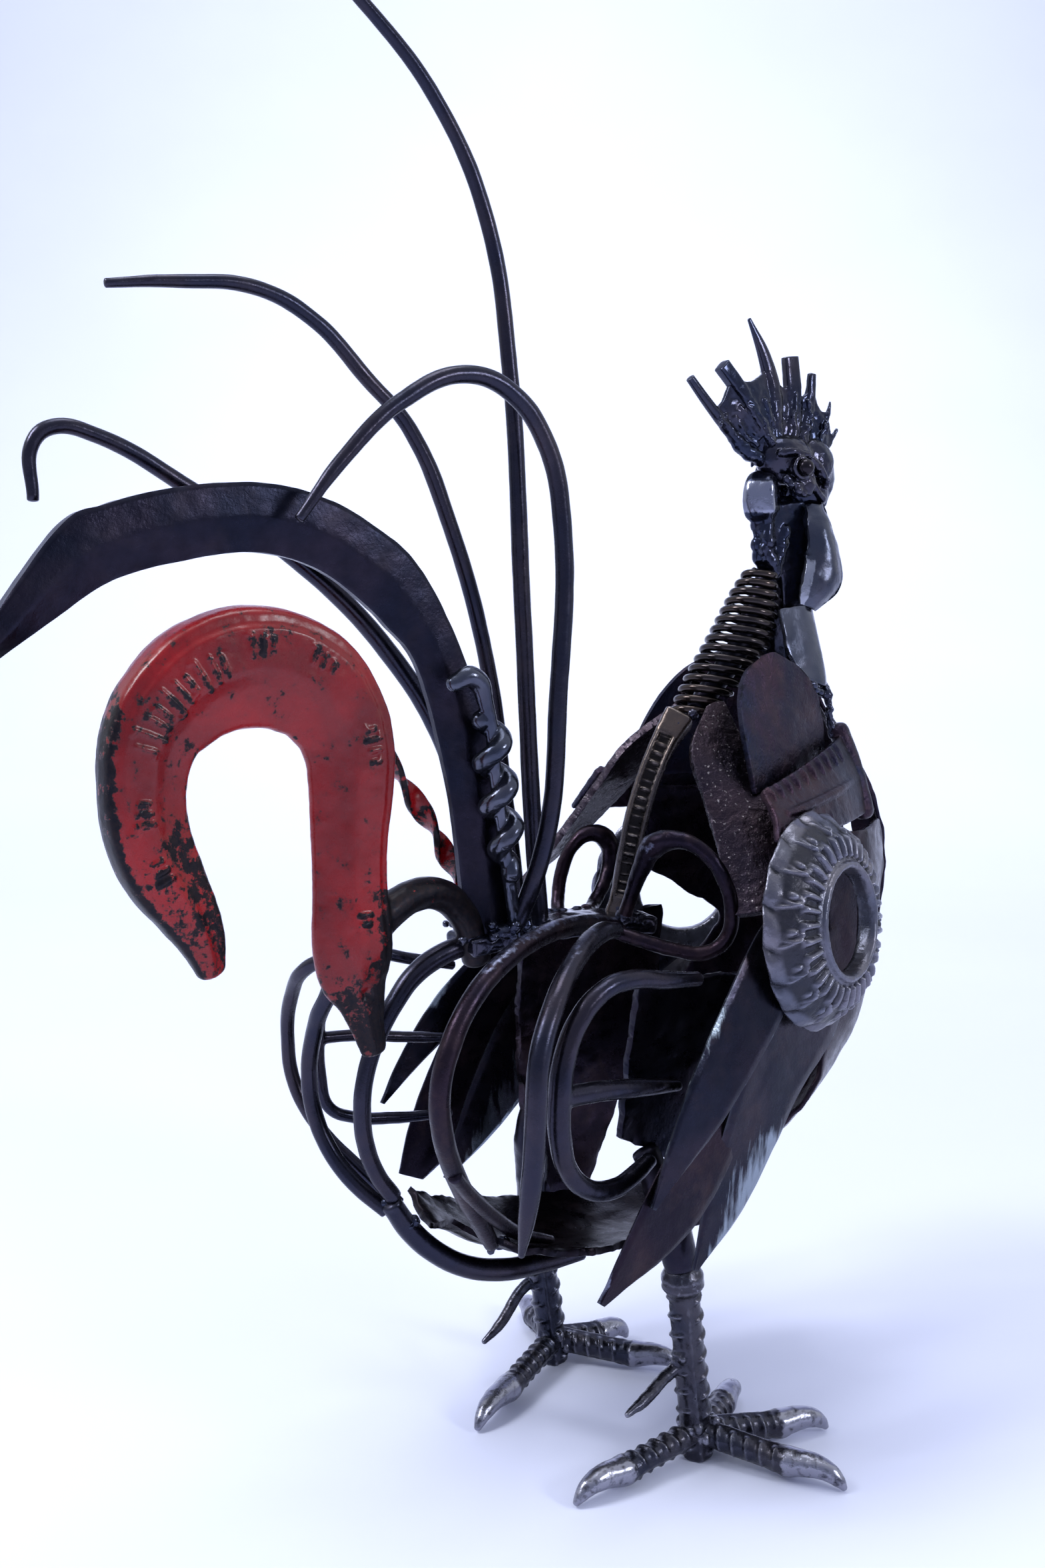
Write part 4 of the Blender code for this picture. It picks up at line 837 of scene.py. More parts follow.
def spine_handle():
    spine = [(-4, 0, 246, 1.1), (-1, 0, 256, 0.95), (3, 0, 276, 0.95), (8, 0, 295), (15, 0, 314),
        (24, 0, 331, 1.05), (33, 0, 343, 1.25)]
    level = unit_rows(at(0.80, -0.60, 0.0))
    bar = solid("bar", sweep(spine, 12.0, 72, 0.45, side=level, square=5.0, cap=0.3))
    p, n = points_of(bar), normals_of(bar)
    line = bend(spine, 0.5)[:, :3]
    near = nearest(line, p)[0]
    ahead = unit_rows(np.gradient(line, axis=0))[near]
    sideways = unit_rows(level - (ahead @ level)[:, None] * ahead)
    aside = np.abs(((p - line[near]) * sideways).sum(1))
    front = np.abs((n * np.cross(sideways, ahead)).sum(1))
    run = near * 0.5
    shown = np.clip(front * 3 - 1.8, 0, 1)
    ends = rise(run, 11, 2) * fall(run, 94, 2)
    panel = fall(aside, 3.4, 0.4) * ends
    stroke = np.clip(np.cos(run * math.tau / 4.6) * 3 - 0.9, 0, 1) * fall(aside, 2.5, 0.4)
    stroke *= (run % 23) > 4.6
    border = np.exp(-((aside - 4.5) / 0.5) ** 2)
    lift = shown * (panel * (1.0 * stroke - 1.4) + 0.35 * border * ends)
    move_points(bar, p + n * lift[:, None])
    # Painted shade in the sunken panel between the raised strokes.
    mark(bar, "painted_shade", 0.9 * shown * panel * (1 - stroke))
    roughen(bar, 0.10, 2.2, 2, 5)
    dress(bar, HANDLE, "spine_handle", sharp=0)
    bar.name = "spine_handle_form"


def shear_bows():
    bow = [(-12, -17, 250), (-11, -22, 262), (-10, -28, 275, 1.25), (-8, -36, 287, 1.6),
        (-1, -46, 290, 1.2), (7, -55, 284), (13, -61, 272), (15, -64, 258), (13, -63, 246), (6, -58, 239),
        (-6, -50, 240), (-18, -42, 244), (-28, -32, 248, 0.9)]
    lump = ball((-8, -34, 286), (5.4, 6.5, 6.0))
    def by_lump(p, _):
        return 0.6 * np.exp(-(np.linalg.norm(p - at(-8, -35, 287), axis=1) / 9) ** 2)
    cast("shear_bow_right", [sweep(bow, 7.0), lump], 0.6, 3, BROWN, (0.2, 4, 3, 3), ground_and_highlight=by_lump)
    bow = [(-14, 12, 249), (-6, 20, 247), (2, 28, 249), (11, 32, 258), (16, 34, 269, 1.2),
        (14, 35, 280, 1.5), (6, 38, 283, 1.2), (-2, 42, 276), (-6, 45, 264), (-9, 44, 252), (-13, 38, 244),
        (-20, 26, 243), (-27, 12, 246, 0.9)]
    cast("shear_bow_left", [sweep(bow, 7.0)], 0.6, 2, BROWN, (0.2, 4, 3, 9))


def rough_plates():
    left_edge = [(40, -12, 348), (23, -22, 329), (21, -33.5, 309), (19.5, -45.5, 289), (17.5, -56, 271),
        (15, -66, 256)]
    right_edge = [(50, -13, 350), (51, -25, 333), (51, -42, 312), (48, -58, 292), (40, -69, 274),
        (26, -74, 258)]
    fold = [(45.6, -12.2, 350), (37, -24.2, 331), (34, -39.3, 310), (32, -53, 290), (28, -63.6, 272),
        (20.5, -70.5, 257)]
    piece = plate("rough_plate_right_form", [left_edge, fold, right_edge], 4.4, 170, 44, 0.25)
    roughen(piece, 0.20, 3.2, 3, 5)
    roughen(piece, 0.12, 1.3, 1, 15)
    pair(piece, "rough_plate", ROUGH_STEEL, 60, lean=-0.36, level=345)


def tongue_plates():
    rear = [(42, -47, 309), (40, -45, 322), (39, -41, 338), (41, -36, 354), (48, -32, 366), (60, -29, 373)]
    front = [(104, -23, 312), (106, -24, 328), (103, -25, 343), (98, -26, 355), (88, -27, 366),
        (74, -28, 373)]
    middle = [(73, -38, 311), (73, -37, 325), (72, -35, 341), (71, -32, 356), (69, -30, 368),
        (67, -28.5, 375)]
    piece = plate("tongue_plate_right_form", [rear, middle, front], 2.6, 110, 80, 0.3)
    roughen(piece, 0.15, 4, 3, 5)
    pair(piece, "tongue_plate", NAVY, shift=14, lean=-0.4, level=366)


def toothed_brackets():
    upper = [(33, -62, 312), (52, -55, 316), (72, -47, 321), (92, -38, 326), (110, -28, 330),
        (122, -20, 334)]
    lower = [(28, -79, 291), (48, -73, 291), (68, -66, 291), (90, -57, 292), (112, -44, 293),
        (126, -35, 294)]
    middle = [tuple((a + b) / 2 for a, b in zip(up, down)) for up, down in zip(upper, lower)]
    middle = [(x + 1, y - 2.5, z - 1) for x, y, z in middle]
    forms = [form_of(plate("sheet", [upper, middle, lower], 4.0, 90, 24, 0.2))]
    out = at(0.30, -0.86, 0.42)
    top, low, mid = (smooth(line, 201) for line in (upper, lower, middle))
    for i in range(10):
        index = int(200 * (0.03 + 0.70 * i / 9))
        a = top[index] * 0.96 + mid[index] * 0.04 + out * 1.9
        b = top[index] * 0.58 + mid[index] * 0.42 + out * 1.9 + at(1.5, 0, 0)
        forms.append(sweep([(*a, 0.9), (*((a + b) / 2), 1.15), (*b, 0.7)], 3.3, 12, 0.9, cap=0.9))
    for i in range(6):
        index = int(200 * (0.05 + 0.42 * i / 5))
        a = low[index] * 0.90 + mid[index] * 0.10 + out * 1.7
        b = low[index] * 0.55 + mid[index] * 0.45 + out * 1.7
        forms.append(sweep([(*a, 0.9), (*b, 0.8)], 3.0, 12, 0.9, cap=0.9))
    ridge = [(*(mid[int(200 * s)] + out * (2.0 if 0 < k < 4 else 0.9)), 1.0) for k,
        s in enumerate((0.10, 0.2, 0.4, 0.6, 0.76))]
    forms.append(sweep(ridge, 4.6, 14, 1.2, cap=1.0))
    head = [(*(np.array(p) + out * 0.8 - at(2, 0, 0)), size) for p, size in zip((upper[-1], middle[-1],
        lower[-1]), (1.15, 0.9, 1.15))]
    forms.append(sweep(head, 9.5, 18, 1.2, cap=0.8))
    piece = melt("toothed_bracket_right_form", forms, 0.6, 3)
    roughen(piece, 0.15, 3, 3, 8)
    pair(piece, "toothed_bracket", NAVY, 0, shift=-6)


def hub_rings():
    """Dished cast ring: a smooth lip, pairs of short radial bars, scrolls, and a lobed brim."""
    inner, outer = 23.5, 50.5
    around, front = 640, 52
    profile = [(inner, 0.2), (inner + 0.2, 3.6), (inner + 1.0, 6.0), (inner + 2.3, 7.0), (inner + 3.8, 6.6),
        (inner + 5.0, 5.0), (32.0, 4.6), (36.5, 3.6), (41.0, 1.2), (45.5, -3.6), (48.6, -8.2),
        (50.3, -10.8), (outer, -12.0)]
    rear = [(48.5, -13.0), (41.5, -10.4), (34.0, -5.0), (27.5, -3.2), (inner + 0.2, -1.6)]
    line = np.vstack([smooth([(r, z, 0) for r, z in profile], front),
        smooth([(r, z, 0) for r, z in rear], 14)])
    radius, depth = line[:, 0:1], line[:, 1:2]
    angle = np.linspace(0, math.tau, around, endpoint=False)[None, :]
    face = (np.arange(len(line)) < front)[:, None]
    wobble = angle + 0.012 * np.sin(5 * angle)
    phase = wobble * 17 / math.tau
    turn = phase - np.floor(phase)
    pair = np.abs(((turn * 2) % 1) - 0.5) * 2
    bars = np.clip(1.45 - 2.6 * pair, 0, 1) ** 0.7 * rise(radius, 29.4, 1.0) * fall(radius, 40.6, 1.2)
    dx = (turn - 0.5) * math.tau / 17 * radius
    dy = radius - 43.4
    reach = np.hypot(dx + 1.4, dy)
    boss = np.clip(1 - (reach / 1.9) ** 2, 0, 1)
    curl = np.exp(-((reach - 3.6) / 0.75) ** 2) * np.clip(0.5 + dx * 0.25 - dy * 0.2, 0, 1)
    tail = np.exp(-((dx - 3.2 - 0.35 * dy) / 0.8) ** 2) * rise(radius, 39, 3) * fall(radius, 48.5, 2)
    lobes = np.abs(np.sin(math.pi * (phase + 0.06 * (radius - 46)))) ** 0.8
    brim = rise(radius, 46.2, 2.2)
    field_in = rise(radius, 29.0, 0.8)
    lift = face * (2.3 * bars + 2.0 * boss + 1.8 * curl + 1.6 * tail - 1.0 * field_in + brim
        * (1.8 * lobes - 0.9))
    grow = brim * (1.6 * lobes - 1.0)
    r = radius + grow
    rings = np.stack([r * np.cos(angle), r * np.sin(angle), depth + lift], -1)
    form_points, faces = tube_faces(rings.transpose(1, 0, 2), closed=True)
    high = np.maximum.reduce([bars, boss, curl, tail, brim * lobes])
    # Painted shade in the sunken field between the reliefs and over the whole back of the ring.
    painted_shade = (face * field_in * np.clip(0.75 - 1.5 * high, 0, 1) + (~face) * 0.5
        * np.ones_like(high)).T.ravel()
    for name, middle, facing in (("right", (59, -88, 253), (0.36, -0.93, 0.09)),
            ("left", (98, 80, 240), (0.55, 0.83, 0.06))):
        turned = np.array(Vector(facing).to_track_quat("Z", "Y").to_matrix())
        piece = solid(f"hub_ring_{name}_form", (form_points @ turned.T + np.array(middle, float), faces))
        mark(piece, "painted_shade", painted_shade)
        roughen(piece, 0.22, 5, 3, 5)
        roughen(piece, 0.10, 1.6, 1, 2)
        dress(piece, CAST, f"hub_ring_{name}", sharp=0)


def edge_streak(run_low, run_high, from_front, wide):
    """Ground mark beside one long edge of a blade."""
    def values(run, cross):
        side = 1 - cross if from_front else cross
        along = rise(run, run_low, 0.12) * fall(run, run_high, 0.15)
        return np.clip(1 - side / wide, 0, 1) * along
    return values


def blade(node, rear, front, streak, seed):
    def thin(run, cross):
        edge = np.minimum(cross, 1 - cross)
        return 0.35 + 0.65 * np.clip(edge / 0.10, 0, 1)
    piece = plate(node + "_form", [rear, front], 2.6, 150, 40, 0, thin=thin)
    roughen(piece, 0.22, 14, 3, seed)
    run, cross = read_mark(piece, "run"), read_mark(piece, "cross")
    edge = np.minimum(cross, 1 - cross)
    mark(piece, "ground_and_highlight", np.maximum(0.80 * streak(run, cross), 0.30 * (edge < 0.012)))
    return piece


def wing_blades():
    upper_rear = [(28, -80, 262), (12, -84, 250), (-6, -90, 231), (-22, -94, 211), (-36, -97, 190),
        (-47, -97, 164), (-53, -95, 142)]
    upper_front = [(44, -84, 240), (31, -88, 222), (16, -92, 206), (-1, -96, 190), (-18, -97.5, 173),
        (-34, -97, 158), (-51, -95, 141)]
    streak = edge_streak(0.30, 0.62, False, 0.28)
    piece = blade("wing_blade_upper_right", upper_rear, upper_front, streak, 3)
    dress(piece, BLADE, "wing_blade_upper_right")
    piece = blade("short_blade", upper_rear[2:], upper_front[2:], streak, 4)
    left = other_side(piece, "wing_blade_upper_left_form", lean=-0.30, level=250)
    bpy.data.objects.remove(piece)
    dress(left, BLADE, "wing_blade_upper_left")
    lower_rear = [(31, -79, 232), (15, -83, 212), (0, -87, 184), (-9, -86, 158), (-15, -83.5, 131),
        (-18, -80, 101)]
    lower_front = [(89, -62, 205), (72, -69, 189), (47, -76.5, 172), (29, -79.5, 149), (10, -80, 123),
        (-15.5, -79.5, 100)]
    streak = edge_streak(0.45, 1.06, True, 0.95)
    piece = blade("wing_blade_lower_right", lower_rear, lower_front, streak, 5)
    pair(piece, "wing_blade_lower", BLADE, lean=-0.30, level=230)
    middle_rear = [(6, -75, 215), (-18, -84, 192), (-38, -90, 166), (-54, -92, 145), (-66, -92, 125),
        (-77, -91, 104)]
    middle_front = [(32, -69, 205), (16, -78, 176), (0, -85, 152), (-20, -87, 128), (-44, -89, 114),
        (-74, -90, 102)]
    streak = edge_streak(0.80, 1.1, False, 0.15)
    piece = blade("wing_blade_middle_right", middle_rear, middle_front, streak, 6)
    dress(piece, BROWN, "wing_blade_middle_right")
    rear = [(0, 86, 215), (-34, 90, 195), (-47, 92, 176), (-58, 94, 154), (-70, 94, 125), (-76, 93, 103)]
    front = [(37, 86, 205), (19, 90, 176), (3, 93, 152), (-17, 94, 128), (-41, 94, 110), (-62, 93, 97)]
    piece = blade("wing_blade_middle_left", front, rear, streak, 7)
    dress(piece, BROWN, "wing_blade_middle_left")


# Neck and head


def neck_spring():
    per_turn, coils, wide, wire = 24, 15, 28.5, 4.0
    count = coils * per_turn
    axis = smooth([(39, 0, 344), (70, 0, 380), (85, 0, 416)], count + 1)
    side = at(0.0, 1, 0)
    across = np.cross(unit_rows(unit_rows(axis[-1] - axis[0]) * 0.45 + at(0, 0, 0.55)), side)
    share = np.arange(count + 1) / count
    barrel = 0.50 + 0.50 * np.sin(math.pi * np.minimum(1, share * 1.02 + 0.02)) ** 0.85
    turn = math.tau * np.arange(count + 1) / per_turn
    coil = axis + (side * np.cos(turn)[:, None] + across * np.sin(turn)[:, None]) * (
        wide / 2 * barrel)[:, None]
    path = [(*point, 1) for point in coil]
    piece = solid("neck_spring_form", sweep(path, wire, 14, 1.4, cap=0.2))
    roughen(piece, 0.05, 4, 2, 3)
    dress(piece, BRONZE, "neck_spring", sharp=0)
    core = solid("neck_core", sweep([(44, 0, 347), (73, 0, 381, 1.1), (88, 0, 412)], 11, 24, 1.5))
    roughen(core, 0.2, 6, 3, 4)
    dress(core, BLACK, sharp=0)


def neck_bar():
    rear = [(99, 350), (98, 372), (96, 394), (94, 414), (90, 432), (84, 448)]
    front = [(113, 346), (110, 372), (110, 392), (115, 410), (117, 432), (113, 452)]
    lines = [[(x, 0, z) for x, z in edge] for edge in (rear, front)]
    forms = [form_of(plate("bar", lines, 10, 60, 14, 0.12))]
    forms.append(sweep([(89, 0, 418, 0.62), (87, 0, 432, 0.64), (85.5, 0, 441, 0.70), (84.5, 0, 445.5),
        (84.5, 0, 457), (87, 0, 461.5, 0.75)], 16.4, 28, 1.0, square=4.5, side=(0.55, -0.83, 0)))
    forms.append(ball((100, 0, 446), (7.8, 5.4, 8.4)))
    forms += drips([(84, -4, 440), (84, -4, 431), (87, -4, 421), (91, -4, 414)], 3.2, 0.8, 0.6, 1.3)
    forms += drips([(90, -4, 414), (92, -4, 421), (95, -4, 430), (97, -4, 438)], 2.6, 0.9, 0.6, 1.3)
    forms += drips([(83, 0, 438), (83, 0, 428), (87, 1, 417)], 3.0, 0.8, 0.6, 1.3)
    def on_barrel(p, _):
        return 0.85 * rise(p[:, 2], 443, 2) * fall(p[:, 2], 461, 2) * fall(p[:, 0], 90, 4)
    cast("neck_bar", forms, 0.6, 3, WELD, (0.20, 5, 3, 6), ground_and_highlight=on_barrel)


def throat_plate():
    near = [(84, -15, 396), (84, -18, 384), (87, -21, 372), (94, -23, 362)]
    front_near = [(104, -13, 398), (106, -16, 384), (109, -18, 371), (112, -19, 358)]
    front = [(114, 0, 396), (116, 0, 384), (118, 0, 371), (121, 0, 360)]
    lines = [near, front_near, front, [(x, -y, z) for x, y, z in front_near],
        [(x, -y, z) for x, y, z in near]]
    sheet("throat_plate", lines, 2.4, 60, 60, 0.3, PALE, (0.2, 8, 3, 5), ragged=0.6)


def skull():
    forms = [ball((99, 0, 471.5), (17.4, 11.2, 13.0), parts=(24, 14)),
        ball((118, 1, 471), (12.7, 9.3, 12.7), parts=(24, 14)), ball((114, 0, 456), (12.5, 9.1, 9.7),
        parts=(24, 14)), sweep([(118, 2, 470), (127, 6, 468, 0.85), (134, 10, 461, 0.6),
        (137, 13, 452, 0.22)], 20, 20, 1.2, cap=0.8)]
    for side in (-1, 1):
        forms.append(ball((103, side * 10, 459), (7.5, 4.5, 7)))
        centre = at(98, side * 12.4, 466.5)
        facing = unit_rows(at(0.05, side, 0.02))
        u = unit_rows(np.cross(facing, (0, 0, 1)))
        v = np.cross(u, facing)
        loop = [(*(centre + facing * 1.6 + (u * math.cos(a) + v * math.sin(a)) * 4.7),
            1) for a in np.linspace(0, math.tau, 25)]
        forms.append(sweep(loop, 2.6, 12, 0.8))
        forms.append(ball(centre - facing * 1.5, (5.5, 3.5, 5.5)))
        for line, size in (([(88, 9.5, 474), (95, 12, 474.5), (104, 11.5, 473.5)], 2.4),
                ([(91, 10.5, 461), (97, 12, 458), (104, 12, 458)], 2.6), ([(105, 11.5, 463),
                (111, 10.5, 457), (118, 8.5, 452)], 2.4), ([(107, 11, 472), (113, 10, 468),
                (119, 8.5, 461)], 2.4)):
            path = [(x + chance.normal(0, 0.4), side * y, z, 1 - 0.12 * k) for k,
                (x, y, z) in enumerate(line)]
            forms.append(sweep(path, size * 1.9, 12, 0.8, cap=0.9))
        forms += drips([(92, side * 11, 459), (97, side * 12, 456), (102, side * 12, 454)], 2.0, 0.8, 1.3)
        forms += drips([(110, side * 10.5, 468), (116, side * 9.5, 464), (120, side * 8.5, 458)],
            1.9, 1.0, 1.3)
    cast("skull", forms, 0.5, 4, WELD, (0.30, 4.0, 3, 6))
    for side, name in ((-1, "right"), (1, "left")):
        eye = solid(f"eye_{name}", ball((98.6, side * 16.3, 466.6), (4.3, 4.0, 4.3), parts=(36, 24)))
        dress(eye, EYE, sharp=0)


def comb():
    """Seven scraps fanned out from the skull, with runs of weld metal between them."""
    spikes = [
        [(88, 0, 469, 1.2), (73, 0, 475, 1.25), (59, -1, 486), (47, -2, 496, 0.85), (36, -2, 507, 0.72)],
        [(92, -2, 474, 0.8), (78, -4, 489), (66, -5, 501.5, 1.1), (53, -5, 514, 1.15)],
        [(92, 0, 480, 1.4), (91, 0, 500, 1.5), (85, 0, 520, 1.15), (74, 0, 539, 0.35)],
        [(102, 0, 478, 1.2), (105, 1, 497, 1.4), (104, 1, 508, 1.5), (102, 1, 523, 1.45)],
        [(109, 0, 477, 1.1), (114, 1, 493), (116, 1, 505, 0.85), (117, 1, 516, 0.7)],
        [(116, 0, 476), (124, 1, 486, 0.75), (128, 1, 495, 0.5), (130, 1, 503, 0.15)],
        [(120, 1, 474, 0.9), (130, 3, 481, 0.7), (137, 3, 490, 0.25)],
    ]
    shapes = [(2.0, 1.0), (5.0, 0.95), (2.4, 0.75), (5.0, 0.55), (3.4, 0.8), (2.4, 0.8), (2.2, 0.8)]
    forms = [sweep(path, 6.2, 24, 0.8, square=square, side=(0, 1, 0), flat=flat, cap=0.06)
        for path, (square, flat) in zip(spikes, shapes)]
    lines = [np.array([p[:3] for p in path], float) for path in spikes]
    reach = ((0.70, 0.88), (0.92, 0.66), (0.66, 0.72), (0.72, 0.80), (0.80, 0.80), (0.75, 0.85))
    for first, second, (low, high) in zip(lines, lines[1:], reach):
        a, b = smooth(first, 60)[:int(60 * low)], smooth(second, 60)[:int(60 * high)]
        a, b = smooth(a[::5], 30), smooth(b[::5], 30)
        sag = (a + b) / 2
        sag[:, 2] -= np.linspace(0, 4, 30)
        web = form_of(plate("web", [a, sag, b], 2.6, 50, 24, 0))
        forms.append(web)
        for _ in range(7):
            share = chance.uniform(0.1, 0.9)
            row = a * (1 - share) + b * share
            start, stop = sorted(chance.integers(2, 29, 2))
            if stop - start < 6:
                continue
            side = chance.choice((-1, 1))
            run = [(*(row[i] + at(chance.normal(0, 0.5), side * 1.5, 0)),
                chance.uniform(0.7, 1.1)) for i in range(start, stop, 4)]
            if len(run) > 2:
                forms.append(sweep(run, chance.uniform(1.8, 3.0), 10, 0.8, cap=0.9))
    for line in lines[:6]:
        dense = smooth(line, 40)
        for side in (-1, 1):
            run = [(*(dense[i] + at(chance.normal(0, 0.9), side * 2.2, 0)),
                chance.uniform(0.6, 1.15)) for i in range(2, 26, 4)]
            forms.append(sweep(run, 2.7, 10, 0.8, cap=0.9))
    for _ in range(26):
        line = smooth(lines[chance.integers(0, 6)], 40)
        place = line[chance.integers(3, 26)] + at(chance.normal(0, 1.6), chance.choice((-2.8, 2.8)),
            chance.normal(0, 2))
        size = chance.uniform(0.8, 1.5)
        forms.append(ball(place, (size, size * 0.9, size * 1.4), parts=(10, 7)))
    piece = melt("comb_form", forms, 0.45, 2)
    p, n = points_of(piece), normals_of(piece)
    molten = fall(p[:, 2], 514, 16) * rise(p[:, 0], 52, 12)
    runs = molten * (0.55 * rough(p, 6.0, 2, 6) + 0.28 * rough(p, 2.2, 2, 5))
    move_points(piece, p + n * runs[:, None])
    dress(piece, WELD, "comb", sharp=0)


def wattles():
    rear = [(108, -6, 448), (104, -11, 436), (103, -13, 422), (99, -14, 409), (99, -13, 399)]
    front = [(118, -6, 450), (121, -10, 437), (125, -12, 421), (124, -13, 407), (108, -13, 396)]
    crown = [(113, -9, 449), (113, -15, 436), (114, -18, 421), (112, -19, 408), (104, -15, 397)]
    piece = plate("wattle_right_form", [rear, crown, front], 3.6, 90, 44, 0.3, ragged=0.5)
    roughen(piece, 0.9, 13, 2, 4)
    roughen(piece, 0.15, 3, 2, 4)
    run, cross = read_mark(piece, "run"), read_mark(piece, "cross")
    mark(piece, "ground_and_highlight", 0.85 * fall(cross, 0.20, 0.04) * rise(run, 0.48, 0.06))
    pair(piece, "wattle", PALE)


# Legs

SOLE = 0.25  # lowest point of the feet


def bar_ribs(pitch, height, turn, until=1.0):
    """Slanted ribs on two sides and a seam along the other two, as on reinforcing bar."""
    def swell(run, angle, share):
        seam = np.exp(-(np.sin(angle - turn) / 0.20) ** 2) * 0.75
        slant = run / pitch + 0.22 * np.cos(angle - turn) * np.sign(np.sin(angle - turn))
        tooth = np.abs((slant % 1) - 0.5) * pitch
        rib = np.exp(-(tooth / 1.15) ** 2) * np.clip(np.abs(np.sin(angle - turn)) * 2.4 - 0.5, 0, 1)
        return height * np.maximum(seam, rib) * fall(share, until, 0.03)
    return swell


def toe(name, foot, tip_x, tip_y):
    fx, fy = foot[:2]
    way = (tip_x - fx, tip_y - fy)

    def place(share, height, size):
        return (fx + way[0] * share, fy + way[1] * share, height, size)

    path = [place(0.02, 12.5, 0.92), place(0.25, 10.9, 0.92), place(0.50, 9.1, 0.92),
        place(0.57, 8.6, 1.05), place(0.62, 8.4, 1.15), place(0.70, 9.0, 1.02), place(0.80, 9.4, 0.90),
        place(0.90, 8.0, 0.74), place(0.965, 5.0, 0.52), place(1.0, 2.4, 0.28)]
    digit = sweep(path, 12.0, 36, 0.6, cap=0.7, swell=bar_ribs(6.8, 1.2, 0.6, 0.54))
    knot = np.array(place(0.56, 8.6, 1)[:3])
    beads = []
    for _ in range(9):
        way3 = unit_rows(chance.normal(0, 1, 3))
        beads.append(ball(knot + way3 * 5.2 * at(1, 1, 0.8), (1.8, 1.8, 1.5), parts=(10, 7)))
    piece = melt(f"toe_{name}_form", [digit, *beads], 0.6, 1)
    roughen(piece, 0.14, 3, 2, 4)
    p = points_of(piece)
    p[:, 2] = np.maximum(p[:, 2], SOLE)
    move_points(piece, p)
    share = ((p[:, 0] - fx) * way[0] + (p[:, 1] - fy) * way[1]) / (way[0] ** 2 + way[1] ** 2)
    mark(piece, "ground_and_highlight", rise(share, 0.56, 0.06) * 0.72)
    dress(piece, BAR, "toe_" + name, sharp=0)


def leg(name, foot, ankle, toes, spur_tip, thigh_top, seed):
    foot, ankle = np.array(foot, float), np.array(ankle, float)
    up = unit_rows(ankle - foot)
    first = np.array(Vector(up).orthogonal().normalized())
    seen = at(-0.42, -0.91, 0)
    seam = math.atan2(seen @ np.cross(up, first), seen @ first)
    shank = sweep([(*(foot + (0, 0, 1)), 0.96), (*(foot * 0.5 + ankle * 0.5), 0.96), (*ankle, 0.96)], 15.0,
        48, 0.6, cap=0.1, swell=bar_ribs(9.4, 1.4, seam))
    x, y, z = ankle
    collar = sweep([(x + 0.6, y, z - 5, 0.84), (x + 0.3, y, z - 3, 1), (x + 0.2, y, z - 1, 0.97),
        (x - 0.3, y, z + 2, 1), (x - 0.8, y, z + 5, 0.84)], 20.0, 24, 0.9)
    root = foot * 0.47 + ankle * 0.53
    spur = sweep([(root[0] - 3, root[1], root[2], 1.2), (root[0] - 11, root[1], 45, 1.05),
        (*(np.array(spur_tip) * 0.75 + root * 0.25), 0.95), (*spur_tip, 0.5)], 5.8, 16, 0.8, cap=0.9)
    forms = [shank, collar, spur]
    forms += drips([(root[0] - 7, root[1] - 3, root[2] + 4), (root[0] - 8, root[1], root[2] + 1),
        (root[0] - 6, root[1] + 4, root[2] - 4)], 2.4, 0.8)
    for i in range(14):
        a = math.tau * i / 14
        forms.append(ball((foot[0] + 8.0 * math.cos(a), foot[1] + 8.0 * math.sin(a),
            13 + 5 * chance.uniform(-1, 1)), (2.6, 2.6, 3.2), parts=(10, 7)))
    piece = melt(f"shank_{name}_form", forms, 0.6, 1)
    roughen(piece, 0.16, 3, 3, seed)
    p = points_of(piece)
    p[:, 2] = np.maximum(p[:, 2], SOLE)
    move_points(piece, p)
    low = fall(p[:, 2], 19, 3) * np.clip(np.hypot(p[:, 0] - foot[0], p[:, 1] - foot[1]) - 7.6, 0, 1)
    band = np.clip(3.5 - np.abs(np.abs(p[:, 2] - z) - 3), 0, 1) * 0.35
    mark(piece, "ground_and_highlight", np.maximum(0.5 * low, band))
    dress(piece, BAR, "shank_" + name, sharp=0)
    for key, (tip_x, tip_y) in toes.items():
        toe(f"{key}_{name}", foot, tip_x, tip_y)
    thigh = sweep([(x - 1, y, z + 6, 0.80), (x - 3, y * 0.95, z + 22, 0.86),
        (x - 7, y * 0.86, z + 42, 0.78), (*thigh_top, 0.62)], 20.0, 24, 1.4)
    piece = solid(f"thigh_{name}_form", thigh)
    roughen(piece, 0.5, 7, 3, seed + 3)
    dress(piece, BLACK, "thigh_" + name, sharp=0)


def legs():
    right = {"outer": (36, -123), "middle": (66, -79), "inner": (50, -31), "back": (-73, -69)}
    leg("right", (0, -63, 0), (-9.5, -62, 88), right, (-47, -71, 37), (-20, -46, 146), 3)
    left = {"outer": (10, 108), "middle": (40, 50), "inner": (42, 3), "back": (-78, 9)}
    leg("left", (-6, 51, 0), (-18, 53, 88), left, (-50, 50, 22), (-22, 46, 146), 5)


# Welds between the scraps


def weld(name, forms, seed):
    piece = melt("weld_" + name, forms, 0.6, 4)
    roughen(piece, 0.25, 3.0, 3, seed)
    dress(piece, WELD, sharp=0)


